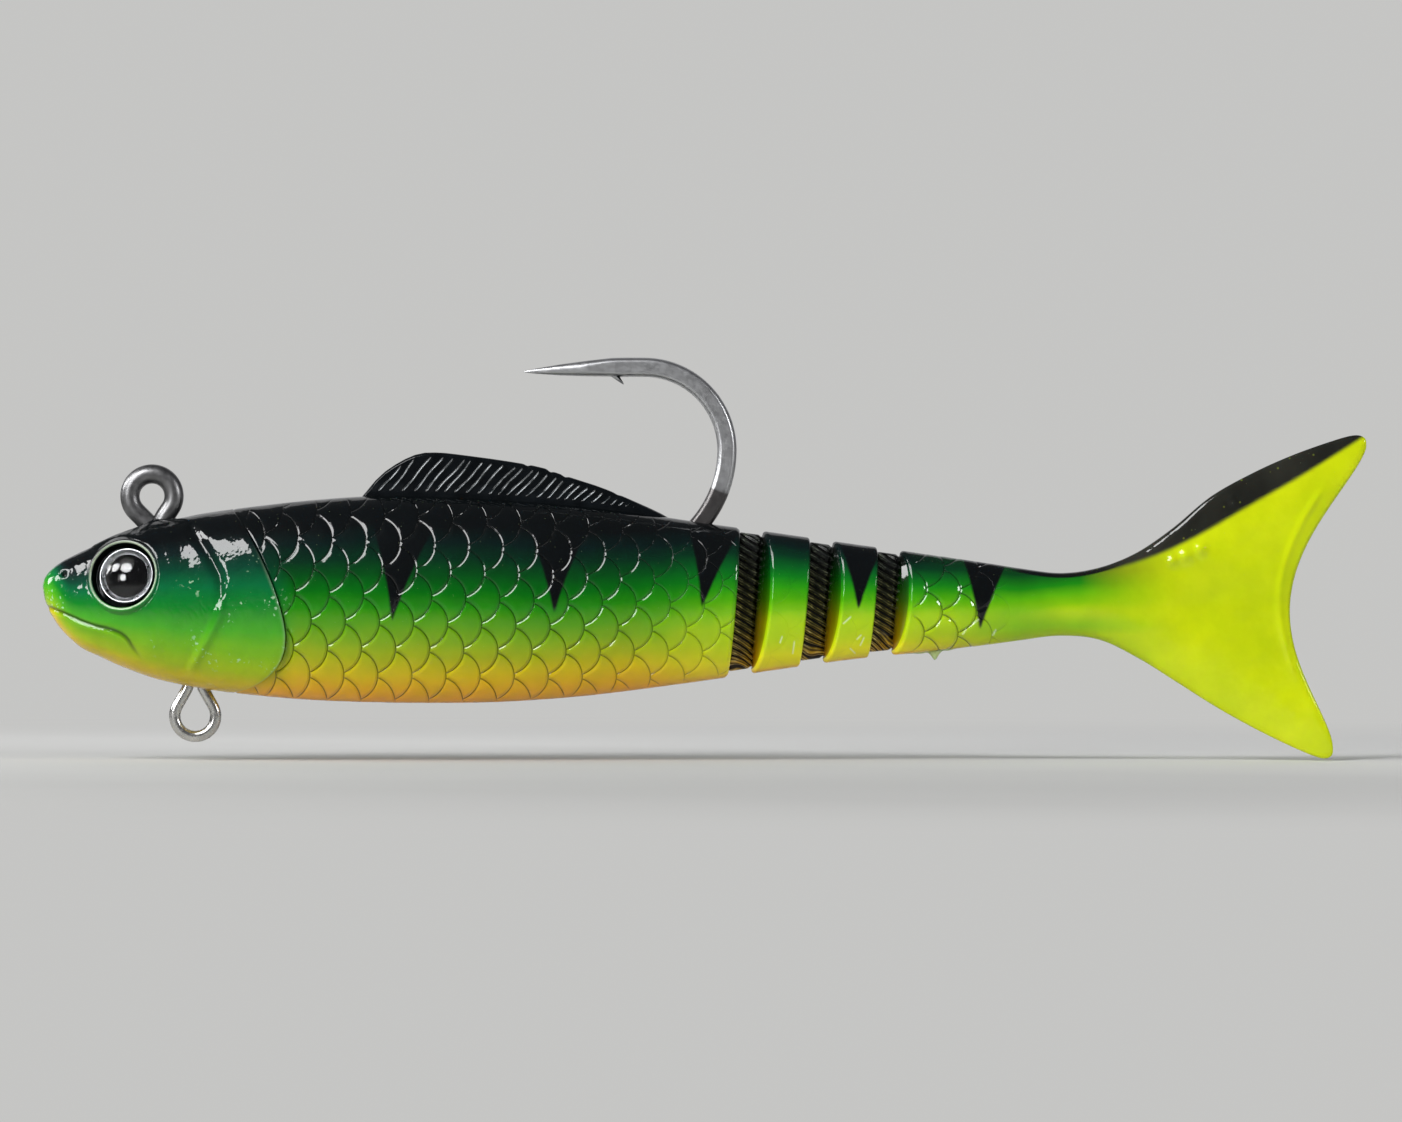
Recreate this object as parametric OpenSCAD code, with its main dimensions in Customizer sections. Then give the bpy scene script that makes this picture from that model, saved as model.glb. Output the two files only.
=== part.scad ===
// Jointed soft swimbait: a rigged fish body in four mouldings on a mesh sleeve,
// with a cast head weight, a jig hook, a belly wire loop and recessed 3-D eyes.
// Millimetres. The origin is the centre of the line tie ring. The head points to -X, +Z is up.

/* [Body] */
// Width of the body against its outline table, as a factor
girth = 1.0; // [0.95:0.01:1.05]
// Fullness of the body's section: 1 is an ellipse, lower is fuller
fullness = 0.86; // [0.8:0.01:0.95]
// Height of the gill cover's rear edge over the body
gill_step = 0.55; // [0.3:0.05:0.7]
// Depth of the mouth line
mouth_depth = 0.45; // [0.2:0.05:0.6]

/* [Slots] */
// Rearward lean of the slots' upper ends, in degrees
slot_lean = 4.5; // [3:0.5:6]
// How far each slot's rear wall slopes back at the body's widest level
slot_flare = 1.4; // [1.2:0.1:1.6]
// Half-width of the mesh sleeve against the body's half-width
sleeve_share = 0.64; // [0.6:0.01:0.68]

/* [Tail fin] */
// Half-thickness of the tail fin at its root
tail_fin_half = 1.5; // [1.3:0.1:1.8]
// Depth of the fork between the lobes
fork_depth = 6.4; // [5:0.1:7]

/* [Dorsal fin] */
// Thickness of the fin's web between its rays
fin_web_t = 0.9; // [0.7:0.1:1.1]
// Thickness across two facing rays
fin_ray_t = 1.4; // [1.2:0.1:1.6]
// Distance from ray to ray along the back
ray_pitch = 1.2; // [1:0.1:1.5]

/* [Hook] */
// Wire diameter of the jig hook
hook_wire = 2.1; // [1.9:0.05:2.2]
// Inside radius of the line tie ring
tie_inner_r = 1.35; // [1.25:0.05:1.5]
// Radius of the bend below the point, at the wire's centre
bend_r = 9; // [8.8:0.1:9.2]
// Radius of the heel between the bend and the shank, at the wire's centre
heel_r = 12.4; // [12:0.1:12.6]
// Thickness of the forged bend, across the wire
forged_t = 1.6; // [1.4:0.1:1.8]

/* [Belly loop] */
// Wire diameter of the belly loop
loop_wire = 1.25; // [1:0.05:1.4]
// Inside radius of the belly loop
loop_inner_r = 1.6; // [1.4:0.05:1.8]

/* [Eyes] */
// Diameter of the eyes
eye_d = 6.0; // [5.6:0.1:6.2]
// Turn of each eye towards the nose, in degrees
eye_turn = 13; // [8:1:18]
// Turn of each eye upwards, in degrees
eye_lift = 12; // [8:1:16]

/* [Hidden] */
$fn = 48;

back_paint = [0.10, 0.22, 0.14];
side_paint = [0.45, 0.70, 0.12];
tail_paint = [0.78, 0.88, 0.08];
mesh_black = [0.10, 0.10, 0.08];
steel_grey = [0.62, 0.62, 0.64];
lead_grey = [0.42, 0.43, 0.46];

half_sides = 22; // sides of a skin ring from the back down to the belly
sides = 2 * half_sides;
fit = 0.05; // clearance of a sleeve in its pocket

// Side outline and half-width of the body: [x, back z, belly z, half-width].
outline = [
    [-11.85, -9.5, -10.1, 0.5],
    [-11.6, -8.8, -11.3, 1.3],
    [-11.1, -8.15, -12.5, 2.0],
    [-10, -7.25, -14.3, 2.8],
    [-7.8, -6.1, -16.4, 3.75],
    [-5.6, -5.1, -17.5, 4.5],
    [-2.4, -3.85, -18.9, 5.35],
    [0.9, -2.9, -20, 5.9],
    [5.2, -1.95, -20.9, 6.35],
    [9.6, -1.3, -21.5, 6.6],
    [16.1, -0.55, -22.1, 6.75],
    [22.6, -0.05, -22.4, 6.8],
    [29.1, 0, -22.5, 6.75],
    [37.8, -0.4, -22.4, 6.55],
    [46.5, -1.1, -21.8, 6.15],
    [54.1, -2.05, -20.9, 5.65],
    [61.7, -3.15, -19.85, 5.1],
    [68.3, -4.05, -18.85, 4.6],
    [75.9, -5.15, -17.8, 4.0],
    [83.5, -6.2, -17, 3.4],
    [90, -7.15, -16.3, 2.8],
    [94.4, -7.85, -15.7, 2.35],
    [98.7, -8.35, -15.2, 1.95],
];

// The tail fin past the stalk: [upper x, upper z, lower x, lower z, fork share, thickness share].
fin_rows = [
    [94.4, -7.85, 94.4, -15.7, 0, 1.5],
    [98.7, -8.35, 98.7, -15.2, 0, 1.3],
    [102.8, -7.8, 103, -15.65, 0, 1.12],
    [106.9, -6.2, 107.2, -17.65, 0, 1],
    [110.9, -3.5, 111.3, -20.2, 0.02, 0.9],
    [115, -0.1, 115.4, -22.8, 0.08, 0.82],
    [119.3, 2.35, 119.3, -25, 0.4, 0.75],
    [123.7, 4.35, 123.1, -26.9, 0.8, 0.68],
    [128, 5.9, 126.1, -28.2, 1.12, 0.62],
    [130.6, 6.6, 127.5, -28.55, 1.2, 0.58],
    [131.8, 6.3, 128.25, -28.15, 1.12, 0.54],
    [132, 5.3, 128.35, -27.3, 1, 0.42],
];

// Slots between the mouldings at mid-height: [front wall x, rear wall x].
slots = [[63.2, 65.7], [70.9, 73.4], [78.3, 80.8]];
slot_z = -11.6; // height at which the slots have the x given above
pocket_inset = 0.7; // depth of a sleeve's pocket under the back and the belly
pocket_share = sleeve_share - 0.08; // half-width of a pocket against the body's half-width
sleeve_inset = 0.35; // depth of a sleeve's open stretch under the back and the belly
front_wall_bow = 0.3; // how far a slot's front wall bows back at the body's widest level
sleeve_ends = [60.8, 68.3, 75.9, 85]; // where the sleeve's stretches start and end

// Gill cover's rear edge: the x of its upper and lower ends, and how far it bows back.
gill_x = 8.8;
gill_bow = 6;
gill_peak = -0.35; // level of the furthest point, from -1 at the belly to 1 at the back
gill_fade = 16; // length behind the gill cover in which the rings straighten
gill_dip = 0.2; // depth and length of the dip behind the gill cover
gill_dip_w = 1.6;
crease_x = 4.6; // the cheek's crease: place, width and depth
crease_w = 0.8;
crease_depth = 0.35;

// Nose, mouth and nostrils.
nose_x = outline[0][0];
mouth_angle = 180 * 14 / half_sides; // place of the mouth line round the head, from the back
mouth_ends = [-11.4, -5];
nostril = [-9.45, 2.6, -8.4];
nostril_r = 0.5;

// Dorsal fin: its upper edge, then the foot of its root in the back.
fin_top = [
    [22.8, -0.1], [24.8, 2.3], [27, 3.8], [29.1, 4.7], [33.5, 4.5],
    [38, 3.9], [42.2, 3.2], [46.5, 1.7], [50.9, 0.1], [55, -1.7], [56.2, -2.4],
];
fin_foot = [[56.2, -3.3], [46.5, -2.3], [37.8, -1.5], [29, -1.1], [22.8, -1.1]];
fin_band = 1.3; // height of the plain band over the foot
ray_margin = 0.65; // distance of the rays' ends from the fin's edge
ray_w = 0.5; // width of a ray
ray_angle = 45;
fin_root_t = fin_ray_t + 0.3;

// Hook: the centre of its bend as [x, z], and the heights and lengths of the rest.
bend_centre = [53.5, 5];
heel_centre = [bend_centre.x + bend_r - heel_r, bend_centre.y];
forged_from = -21; // angle round the heel's centre where the forging starts
shank_z = heel_centre.y - heel_r;
tie_r = tie_inner_r + hook_wire / 2;
tie_leg_x = 1.75; // x of the leg that runs down into the shank
tie_tag_x = tie_leg_x - hook_wire - 0.1; // x of the wire's end beside that leg
tie_tag_z = -6.2;
kink_swell = 1.04; // how much thicker a wire is where it kinks
neck_r = 2.6; // radius of the bend from the leg into the shank
tie_foot = [(tie_leg_x + tie_tag_x) / 2, -5.3]; // mound of plastic round the feet of the line tie
tie_foot_r = 3;
needle_x = 50; // where the point's taper starts
needle_droop = 3; // fall of the point towards its tip, in degrees
needle_profile = [[0, 0], [hook_wire / 2, 0], [0.6, 5.7], [0.06, 9.6], [0, 9.6]];
barb_points = [[47.4, 13.3], [51.2, 12], [50.1, 13.2]];
barb_t = 0.7;

// Head weight: a spindle cast on the shank, its axis along X.
weight_z = -11.6;
weight_front = -2;
weight_length = 30;
weight_r = 4.7;
weight_rings = 14;

// Belly loop.
loop_centre = [4.7, -23.9];
loop_r = loop_inner_r + loop_wire / 2;
loop_open = 60; // half of the angle left open at the loop's top, towards its legs
loop_neck_z = -20.6; // height at which the legs meet
loop_top_z = -14;

// Eyes: the point of their seat's centre on the left side, which is -Y.
eye_seat = [-2.3, -3.95, -8.8];
socket_r = eye_d / 2 + 0.55;
socket_depth = 5; // past the skin everywhere
rim_r = socket_r + 0.3;
rim_wire = 0.7;
foil_t = 0.4;
pupil_r = 0.39 * eye_d;
pupil_t = 0.75;
pupil_edge_t = 0.25;
lens_t = 1.15; // height of the lens over the foil
lens_edge_t = 0.35;

// ---- curves -------------------------------------------------------------

function mix(a, b, t) = a * (1 - t) + b * t;

function clamp01(t) = min(max(t, 0), 1);

function smooth(t) = let (c = clamp01(t)) c * c * (3 - 2 * c);

// Index of the row whose first value is the last one at or under x.
function row_at(rows, x, i = 0) = i >= len(rows) - 2 || rows[i + 1][0] > x ? i : row_at(rows, x, i + 1);

function slope(rows, i) =
    let (a = rows[max(i - 1, 0)], b = rows[min(i + 1, len(rows) - 1)]) (b - a) / (b[0] - a[0]);

// Smooth curve through rows, each of which starts with its own x.
function curve(rows, x) =
    let (i = row_at(rows, x), a = rows[i], b = rows[i + 1], w = b[0] - a[0], t = (x - a[0]) / w)
    a * (1 + 2 * t) * (1 - t) ^ 2 + slope(rows, i) * w * t * (1 - t) ^ 2
    + b * t ^ 2 * (3 - 2 * t) - slope(rows, i + 1) * w * t ^ 2 * (1 - t);

// Smooth curve through rows counted 0, 1, 2 and so on.
function through(rows, u) =
    let (
        last = len(rows) - 1, i = min(floor(u), last - 1), t = u - i,
        a = rows[max(i - 1, 0)], b = rows[i], c = rows[i + 1], d = rows[min(i + 2, last)]
    )
    b + 0.5 * t * (c - a + t * (2 * a - 5 * b + 4 * c - d + t * (3 * (b - c) + d - a)));

// ---- the body's skin ----------------------------------------------------

function side_of(i) = i <= half_sides ? 1 : -1;

// Angle of a ring's point i: 0 at the back, 180 at the belly, the same on both sides.
function angle_of(i) = 180 * (i <= half_sides ? i : sides - i) / half_sides;

// How far back the gill cover's line bows at a level s, from 0 to 1.
function gill_bow_at(s) =
    s >= gill_peak ? 1 - ((s - gill_peak) / (1 - gill_peak)) ^ 1.5
    : 1 - ((gill_peak - s) / (1 + gill_peak)) ^ 2.5;

// Share of the gill's bow that the ring at x has.
function bow_share(x) =
    x <= gill_x ? clamp01((x - nose_x) / (gill_x - nose_x)) ^ 2
    : clamp01(1 - (x - gill_x) / gill_fade) ^ 2;

// The gill cover stands over the skin up to its rear edge, and the skin dips behind it.
function gill_lift(x) =
    x <= gill_x ? gill_step * smooth((x - 1) / (gill_x - 1))
    : -gill_dip * clamp01(1 - (x - gill_x) / gill_dip_w);

// The cheek's crease, ahead of the gill cover.
function cheek_crease(x) = -crease_depth * exp(-((x - crease_x) / crease_w) ^ 2);

// The mouth line along one level of the head.
function mouth_line(x, i) =
    angle_of(i) == mouth_angle && x > mouth_ends[0] && x < mouth_ends[1] ? -mouth_depth : 0;

// A point of the skin at station x and ring place i, grown outwards by lift.
function skin_point(x, i, lift = 0) =
    let (
        a = angle_of(i), s = cos(a), k = curve(outline, x),
        z = mix(k[2], k[1], (1 + s) / 2), y = girth * k[3] * sin(a) ^ fullness
    )
    [x, side_of(i) * (y + lift * sin(a)), z + 0.4 * lift * s * sin(a)];

// A ring of the trunk, bowed back like the gill cover.
function trunk_ring(x) = [
    for (i = [0:sides - 1])
        skin_point(
            x + gill_bow * bow_share(x) * gill_bow_at(cos(angle_of(i))), i,
            gill_lift(x) + cheek_crease(x) + mouth_line(x, i)
        )
];

function lean_shift(z) = tan(slot_lean) * (z - slot_z);

// A ring along a slot's wall: leaning, and bowed back by flare at mid-height.
function slot_ring(x, flare = 0) = [
    for (i = [0:sides - 1])
        let (p = skin_point(x, i), a = angle_of(i)) skin_point(x + lean_shift(p.z) + flare * sin(a), i)
];

// ---- the mesh sleeve's section -------------------------------------------

// A ring of the sleeve: inset is its depth under the back and belly, share its width against the body's.
function sleeve_ring(x, inset, share, shrink = 0) = [
    for (i = [0:sides - 1])
        let (
            a = angle_of(i), k = curve(outline, x),
            z = mix(k[2] + inset + shrink, k[1] - inset - shrink, (1 + cos(a)) / 2),
            y = girth * k[3] * share * sin(a) ^ 0.9 - shrink * sin(a)
        )
        [x + lean_shift(z), side_of(i) * y, z]
];

function pocket_ring(x, shrink = 0) = sleeve_ring(x, pocket_inset, pocket_share, shrink);

// ---- solids from rings ----------------------------------------------------

function between(a, b, n) = [for (j = [0:n]) mix(a, b, j / n)];

function wall_faces(rings, n, wrap) = [
    for (j = [0:wrap ? rings - 1 : rings - 2])
        for (i = [0:n - 1])
            let (
                k = (j + 1) % rings, a = j * n + i, b = j * n + (i + 1) % n,
                c = k * n + (i + 1) % n, d = k * n + i
            )
            each [[a, b, c], [a, c, d]]
];

// A flat end made of strips from one side of the ring to the other.
function end_faces(base, n, front) = [
    for (i = [0:n / 2 - 1])
        let (p = base + i, q = base + i + 1, r = base + n - i - 1, t = base + (n - i) % n)
        for (f = i == 0 ? [[p, q, r]] : i == n / 2 - 1 ? [[p, q, t]] : [[p, q, r], [p, r, t]])
            front ? [f[2], f[1], f[0]] : f
];

// Rings joined in order and closed at both ends.
module loft(rings) {
    n = len(rings[0]);
    polyhedron(
        [for (r = rings) each r],
        concat(
            wall_faces(len(rings), n, false), end_faces(0, n, true),
            end_faces((len(rings) - 1) * n, n, false)
        ),
        convexity = 6
    );
}

// Rings joined in order, the last to the first, as round a sleeve.
module loft_loop(rings) {
    polyhedron([for (r = rings) each r], wall_faces(len(rings), len(rings[0]), true), convexity = 6);
}

// ---- wires ----------------------------------------------------------------

// Round section of a wire swept through an arc about +Y, from angle a round by turn.
// Angles run from +X to +Z.
module wire_arc(r, a, turn, d) {
    rotate([90, 0, 0]) rotate([0, 0, a]) rotate_extrude(angle = turn) translate([r, 0]) circle(d = d);
}

// Straight wire from one point to another in the plane y = 0.
module wire_line(from, to, d) {
    run = to - from;
    translate([from.x, 0, from.y]) rotate([0, 90 - atan2(run.y, run.x), 0]) cylinder(d = d, h = norm(run));
}

function polar(r, a) = [r * cos(a), r * sin(a)];

// ---- mouldings --------------------------------------------------------------

trunk_stations = concat(
    [-11.8, -11.6, -11.2, -10.6, -9.8, -8.9, -8, -7.1, -6.2],
    between(-5.3, gill_x - 1.2, 12), [gill_x - 0.5, gill_x, gill_x + 0.12, gill_x + 0.9],
    between(gill_x + 2.2, slots[0][0] - 2, 23)
);

module trunk_skin() {
    loft(concat(
        [for (x = trunk_stations) trunk_ring(x)],
        [slot_ring(slots[0][0], front_wall_bow)],
        [pocket_ring(slots[0][0]), pocket_ring(sleeve_ends[0])]
    ));
}

module trunk() {
    color(side_paint) difference() {
        union() {
            trunk_skin();
            at_xz(tie_foot) sphere(r = tie_foot_r);
            both_eyes() rotate_extrude() translate([rim_r, eye_edge]) circle(d = rim_wire);
        }
        both_eyes() cylinder(r = socket_r, h = socket_depth);
        for (side = [-1, 1])
            translate([nostril.x, side * nostril.y, nostril.z]) sphere(r = nostril_r);
        fin_root();
        weight_spindle();
        buried_wires();
        loop_wires();
    }
}

module segment(front, rear) {
    color(side_paint) loft_loop([
        slot_ring(front, slot_flare),
        slot_ring(mix(front, rear, 0.55), 0.8 * slot_flare),
        slot_ring(rear, front_wall_bow),
        pocket_ring(rear),
        pocket_ring(front),
    ]);
}

module segment_1() {
    segment(slots[0][1], slots[1][0]);
}

module segment_2() {
    segment(slots[1][1], slots[2][0]);
}

function fin_ring(u) =
    let (
        k = through(fin_rows, u), edge = len(fin_rows) - 1 - u,
        close = edge < 0.5 ? sqrt(1 - ((0.5 - edge) / 0.55) ^ 2) : 1, plate = smooth((u - 1) / 5)
    )
    [
        for (i = [0:sides - 1])
            let (a = angle_of(i), s = cos(a), t = (1 + s) / 2)
            [
                mix(k[2], k[0], t) - k[4] * fork_depth * (1 - s ^ 2) ^ 1.5,
                side_of(i) * tail_fin_half * k[5] * close * sin(a) ^ mix(fullness, 0.35, plate),
                mix(k[3], k[1], t)
            ]
    ];

stalk_stations = [82.6, 84.4, 86.2, 88, 89.8, 91.6, 93];

module tail() {
    front = slots[2][1];
    stalk_x = fin_rows[0][0];
    color(tail_paint) loft(concat(
        [pocket_ring(sleeve_ends[3]), pocket_ring(front), slot_ring(front, slot_flare)],
        [for (x = stalk_stations) slot_ring(x, slot_flare * (stalk_x - x) / (stalk_x - front))],
        [for (u = [0:0.5:10]) fin_ring(u)],
        [for (u = [10.3, 10.6, 10.8, 10.92, 11]) fin_ring(u)]
    ));
}

// ---- mesh sleeves ------------------------------------------------------------

module mesh_sleeve(slot, from, to) {
    bulge = [
        for (t = [0.15, 0.5, 0.85])
            sleeve_ring(mix(slot[0], slot[1], t), sleeve_inset, sleeve_share - 0.04 * abs(t - 0.5))
    ];
    color(mesh_black) loft(concat(
        [pocket_ring(from + fit, fit), pocket_ring(slot[0], fit)], bulge,
        [pocket_ring(slot[1], fit), pocket_ring(to - fit, fit)]
    ));
}

module mesh_sleeve_1() {
    mesh_sleeve(slots[0], sleeve_ends[0], sleeve_ends[1]);
}

module mesh_sleeve_2() {
    mesh_sleeve(slots[1], sleeve_ends[1], sleeve_ends[2]);
}

module mesh_sleeve_3() {
    mesh_sleeve(slots[2], sleeve_ends[2], sleeve_ends[3]);
}

// ---- dorsal fin -----------------------------------------------------------------

function raised(points, rise) = [for (p = points) [p.x, p.y + rise]];

function reversed(points) = [for (i = [len(points) - 1:-1:0]) points[i]];

// A flat shape in x and z, made t thick about the plane y = 0.
module upright(t) {
    rotate([90, 0, 0]) linear_extrude(t, center = true) children();
}

module ray_lines() {
    for (x = [fin_foot[4].x - 3:ray_pitch:fin_foot[0].x])
        translate([x, -3]) rotate(ray_angle) square([14, ray_w]);
}

// The fin's thick foot, which is also the seat it fills in the back.
module fin_root() {
    upright(fin_root_t) polygon(concat(raised(reversed(fin_foot), fin_band), fin_foot));
}

module dorsal_fin() {
    color(back_paint * 0.4) {
        upright(fin_web_t) polygon(concat(fin_top, fin_foot));
        upright(fin_ray_t) intersection() {
            polygon(concat(raised(fin_top, -ray_margin), fin_foot));
            ray_lines();
        }
        fin_root();
    }
}

// ---- hook ---------------------------------------------------------------------

module at_xz(p) {
    translate([p.x, 0, p.y]) children();
}

// Line tie: the wire goes round the ring and its end lies beside the leg.
module line_tie() {
    leg_angle = -acos(tie_leg_x / tie_r);
    tag_angle = -acos(tie_tag_x / tie_r);
    wire_arc(tie_r, leg_angle, 360 + tag_angle - leg_angle, hook_wire);
    for (a = [leg_angle, tag_angle])
        at_xz(polar(tie_r, a)) sphere(d = hook_wire * kink_swell);
    wire_line([tie_tag_x, tie_tag_z], polar(tie_r, tag_angle), hook_wire);
    wire_line([tie_leg_x, shank_z + neck_r], polar(tie_r, leg_angle), hook_wire);
}

module shank() {
    at_xz([tie_leg_x + neck_r, shank_z + neck_r]) wire_arc(neck_r, 180, 90, hook_wire);
    wire_line([tie_leg_x + neck_r, shank_z], [heel_centre.x, shank_z], hook_wire);
    at_xz(heel_centre) wire_arc(heel_r, -90, 90 + forged_from, hook_wire);
}

module bend_and_point() {
    at_xz(heel_centre) wire_arc(heel_r, 0, forged_from - 3, hook_wire);
    at_xz(bend_centre) wire_arc(bend_r, 0, 90, hook_wire);
    wire_line([needle_x, bend_centre.y + bend_r], [bend_centre.x, bend_centre.y + bend_r], hook_wire);
    at_xz([needle_x, bend_centre.y + bend_r])
        rotate([0, -90 - needle_droop, 0]) rotate_extrude() polygon(needle_profile);
    upright(barb_t) polygon(barb_points);
}

module buried_wires() {
    line_tie();
    shank();
}

module jig_hook() {
    color(steel_grey) {
        buried_wires();
        intersection() {
            bend_and_point();
            translate([0, -forged_t / 2, -40]) cube([100, forged_t, 80]);
        }
    }
}

// ---- head weight and belly loop --------------------------------------------------

module weight_spindle() {
    profile = [
        for (k = [0:weight_rings])
            let (t = k / weight_rings) [weight_r * sin(180 * t ^ 0.8) ^ 0.75, weight_length * t]
    ];
    translate([weight_front, 0, weight_z]) rotate([0, 90, 0])
        rotate_extrude() polygon(concat(profile, [[0, weight_length]]));
}

module head_weight() {
    color(lead_grey) difference() {
        weight_spindle();
        buried_wires();
        loop_wires();
    }
}

module loop_wires() {
    at_xz(loop_centre) wire_arc(loop_r, 90 + loop_open, 360 - 2 * loop_open, loop_wire);
    for (side = [-1, 1]) {
        shoulder = loop_centre + polar(loop_r, 90 + side * loop_open);
        neck = [loop_centre.x - side * (loop_wire + 0.1) / 2, loop_neck_z];
        wire_line(shoulder, neck, loop_wire);
        wire_line(neck, [neck.x, loop_top_z], loop_wire);
        for (kink = [shoulder, neck])
            at_xz(kink) sphere(d = loop_wire * kink_swell);
    }
}

module belly_loop() {
    color(steel_grey) loop_wires();
}

// ---- eyes -------------------------------------------------------------------------

eye_edge = foil_t + lens_edge_t; // height of the lens's edge over the seat

// Places its children, which face +Z, on one side's eye seat: side is -1 on the left and 1 on the right.
module at_eye(side) {
    translate([eye_seat.x, -side * eye_seat.y, eye_seat.z]) rotate([0, 0, -side * eye_turn])
        rotate([-side * (90 - eye_lift), 0, 0]) children();
}

module both_eyes() {
    for (side = [-1, 1])
        at_eye(side) children();
}

// A cap of a sphere on a disc of radius r: its edge stands edge high and its middle top high.
module domed(r, edge, top) {
    rise = top - edge;
    ball_r = (r ^ 2 + rise ^ 2) / (2 * rise);
    intersection() {
        cylinder(r = r, h = top + 1);
        translate([0, 0, top - ball_r]) sphere(r = ball_r, $fn = 96);
    }
}

module eye_foil(side) {
    color("silver") at_eye(side) cylinder(d = eye_d, h = foil_t);
}

module eye_pupil(side) {
    color("black") at_eye(side) translate([0, 0, foil_t]) domed(pupil_r, pupil_edge_t, pupil_t);
}

module eye_lens(side) {
    color([0.85, 0.9, 0.9]) at_eye(side) translate([0, 0, foil_t]) difference() {
        domed(eye_d / 2, lens_edge_t, lens_t);
        domed(pupil_r, pupil_edge_t, pupil_t);
    }
}

trunk();
segment_1();
segment_2();
tail();
dorsal_fin();
mesh_sleeve_1();
mesh_sleeve_2();
mesh_sleeve_3();
head_weight();
jig_hook();
belly_loop();
eye_foil(-1);  // eye_foil_left
eye_foil(1);  // eye_foil_right
eye_pupil(-1);  // eye_pupil_left
eye_pupil(1);  // eye_pupil_right
eye_lens(-1);  // eye_lens_left
eye_lens(1);  // eye_lens_right
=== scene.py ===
from functools import reduce
from math import cos, dist, pi, radians, sin, sqrt, tan

import bmesh
import bpy
import numpy as np
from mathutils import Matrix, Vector


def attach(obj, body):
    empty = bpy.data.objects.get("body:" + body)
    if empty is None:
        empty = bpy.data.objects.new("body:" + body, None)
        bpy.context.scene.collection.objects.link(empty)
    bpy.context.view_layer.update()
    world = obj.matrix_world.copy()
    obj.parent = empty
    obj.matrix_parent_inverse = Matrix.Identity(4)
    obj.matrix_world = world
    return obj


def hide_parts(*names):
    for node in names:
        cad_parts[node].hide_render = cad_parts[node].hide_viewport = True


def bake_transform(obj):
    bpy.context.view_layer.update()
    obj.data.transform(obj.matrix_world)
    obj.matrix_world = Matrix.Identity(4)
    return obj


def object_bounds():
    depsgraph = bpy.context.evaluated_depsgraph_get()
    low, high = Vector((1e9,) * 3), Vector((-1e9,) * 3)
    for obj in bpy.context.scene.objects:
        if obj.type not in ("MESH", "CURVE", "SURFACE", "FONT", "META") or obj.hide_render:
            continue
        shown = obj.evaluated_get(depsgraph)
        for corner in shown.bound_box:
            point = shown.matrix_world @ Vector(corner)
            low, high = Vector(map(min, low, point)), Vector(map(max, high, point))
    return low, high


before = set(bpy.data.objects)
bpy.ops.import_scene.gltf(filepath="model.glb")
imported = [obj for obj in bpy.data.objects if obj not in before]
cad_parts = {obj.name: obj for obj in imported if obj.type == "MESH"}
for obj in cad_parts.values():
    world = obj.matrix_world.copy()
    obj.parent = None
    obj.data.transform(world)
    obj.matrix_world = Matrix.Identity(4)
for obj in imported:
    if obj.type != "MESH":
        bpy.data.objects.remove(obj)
CAD_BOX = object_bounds()

MM = 0.001
RNG = np.random.default_rng(11)

# ---- Shape of the body, in millimetres, from the same values as the CAD model. ----

# Side outline and half-width: x, back z, belly z, half-width.
OUTLINE = np.array([
    [-11.85, -9.5, -10.1, 0.5],
    [-11.6, -8.8, -11.3, 1.3],
    [-11.1, -8.15, -12.5, 2.0],
    [-10, -7.25, -14.3, 2.8],
    [-7.8, -6.1, -16.4, 3.75],
    [-5.6, -5.1, -17.5, 4.5],
    [-2.4, -3.85, -18.9, 5.35],
    [0.9, -2.9, -20, 5.9],
    [5.2, -1.95, -20.9, 6.35],
    [9.6, -1.3, -21.5, 6.6],
    [16.1, -0.55, -22.1, 6.75],
    [22.6, -0.05, -22.4, 6.8],
    [29.1, 0, -22.5, 6.75],
    [37.8, -0.4, -22.4, 6.55],
    [46.5, -1.1, -21.8, 6.15],
    [54.1, -2.05, -20.9, 5.65],
    [61.7, -3.15, -19.85, 5.1],
    [68.3, -4.05, -18.85, 4.6],
    [75.9, -5.15, -17.8, 4.0],
    [83.5, -6.2, -17, 3.4],
    [90, -7.15, -16.3, 2.8],
    [94.4, -7.85, -15.7, 2.35],
    [98.7, -8.35, -15.2, 1.95],
])
# Tail fin past the stalk: upper x, upper z, lower x, lower z, fork share, thickness share.
FIN_ROWS = np.array([
    [94.4, -7.85, 94.4, -15.7, 0, 1.567],
    [98.7, -8.35, 98.7, -15.2, 0, 1.3],
    [102.8, -7.8, 103, -15.65, 0, 1.12],
    [106.9, -6.2, 107.2, -17.65, 0, 1],
    [110.9, -3.5, 111.3, -20.2, 0.02, 0.9],
    [115, -0.1, 115.4, -22.8, 0.08, 0.82],
    [119.3, 2.35, 119.3, -25, 0.4, 0.75],
    [123.7, 4.35, 123.1, -26.9, 0.8, 0.68],
    [128, 5.9, 126.1, -28.2, 1.12, 0.62],
    [130.6, 6.6, 127.5, -28.55, 1.2, 0.58],
    [131.8, 6.3, 128.25, -28.15, 1.12, 0.54],
    [132, 5.3, 128.35, -27.3, 1, 0.42],
])
FULLNESS = 0.86
SLOTS = [(63.2, 65.7), (70.9, 73.4), (78.3, 80.8)]
TRUNK_END = SLOTS[0][0]
SLOT_Z = -11.6
SLOT_LEAN = tan(radians(4.5))
SLOT_FLARE = 1.4
SLEEVE_ENDS = [60.8, 68.3, 75.9, 85]
SLEEVE_SHARE = 0.64
POCKET_SHARE = SLEEVE_SHARE - 0.08
POCKET_INSET = 0.7
TAIL_FIN_HALF = 1.5
FORK_DEPTH = 6.4
GILL_X = 8.8
GILL_BOW = 6
GILL_PEAK = -0.35
NOSE_X = -11.85
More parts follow.
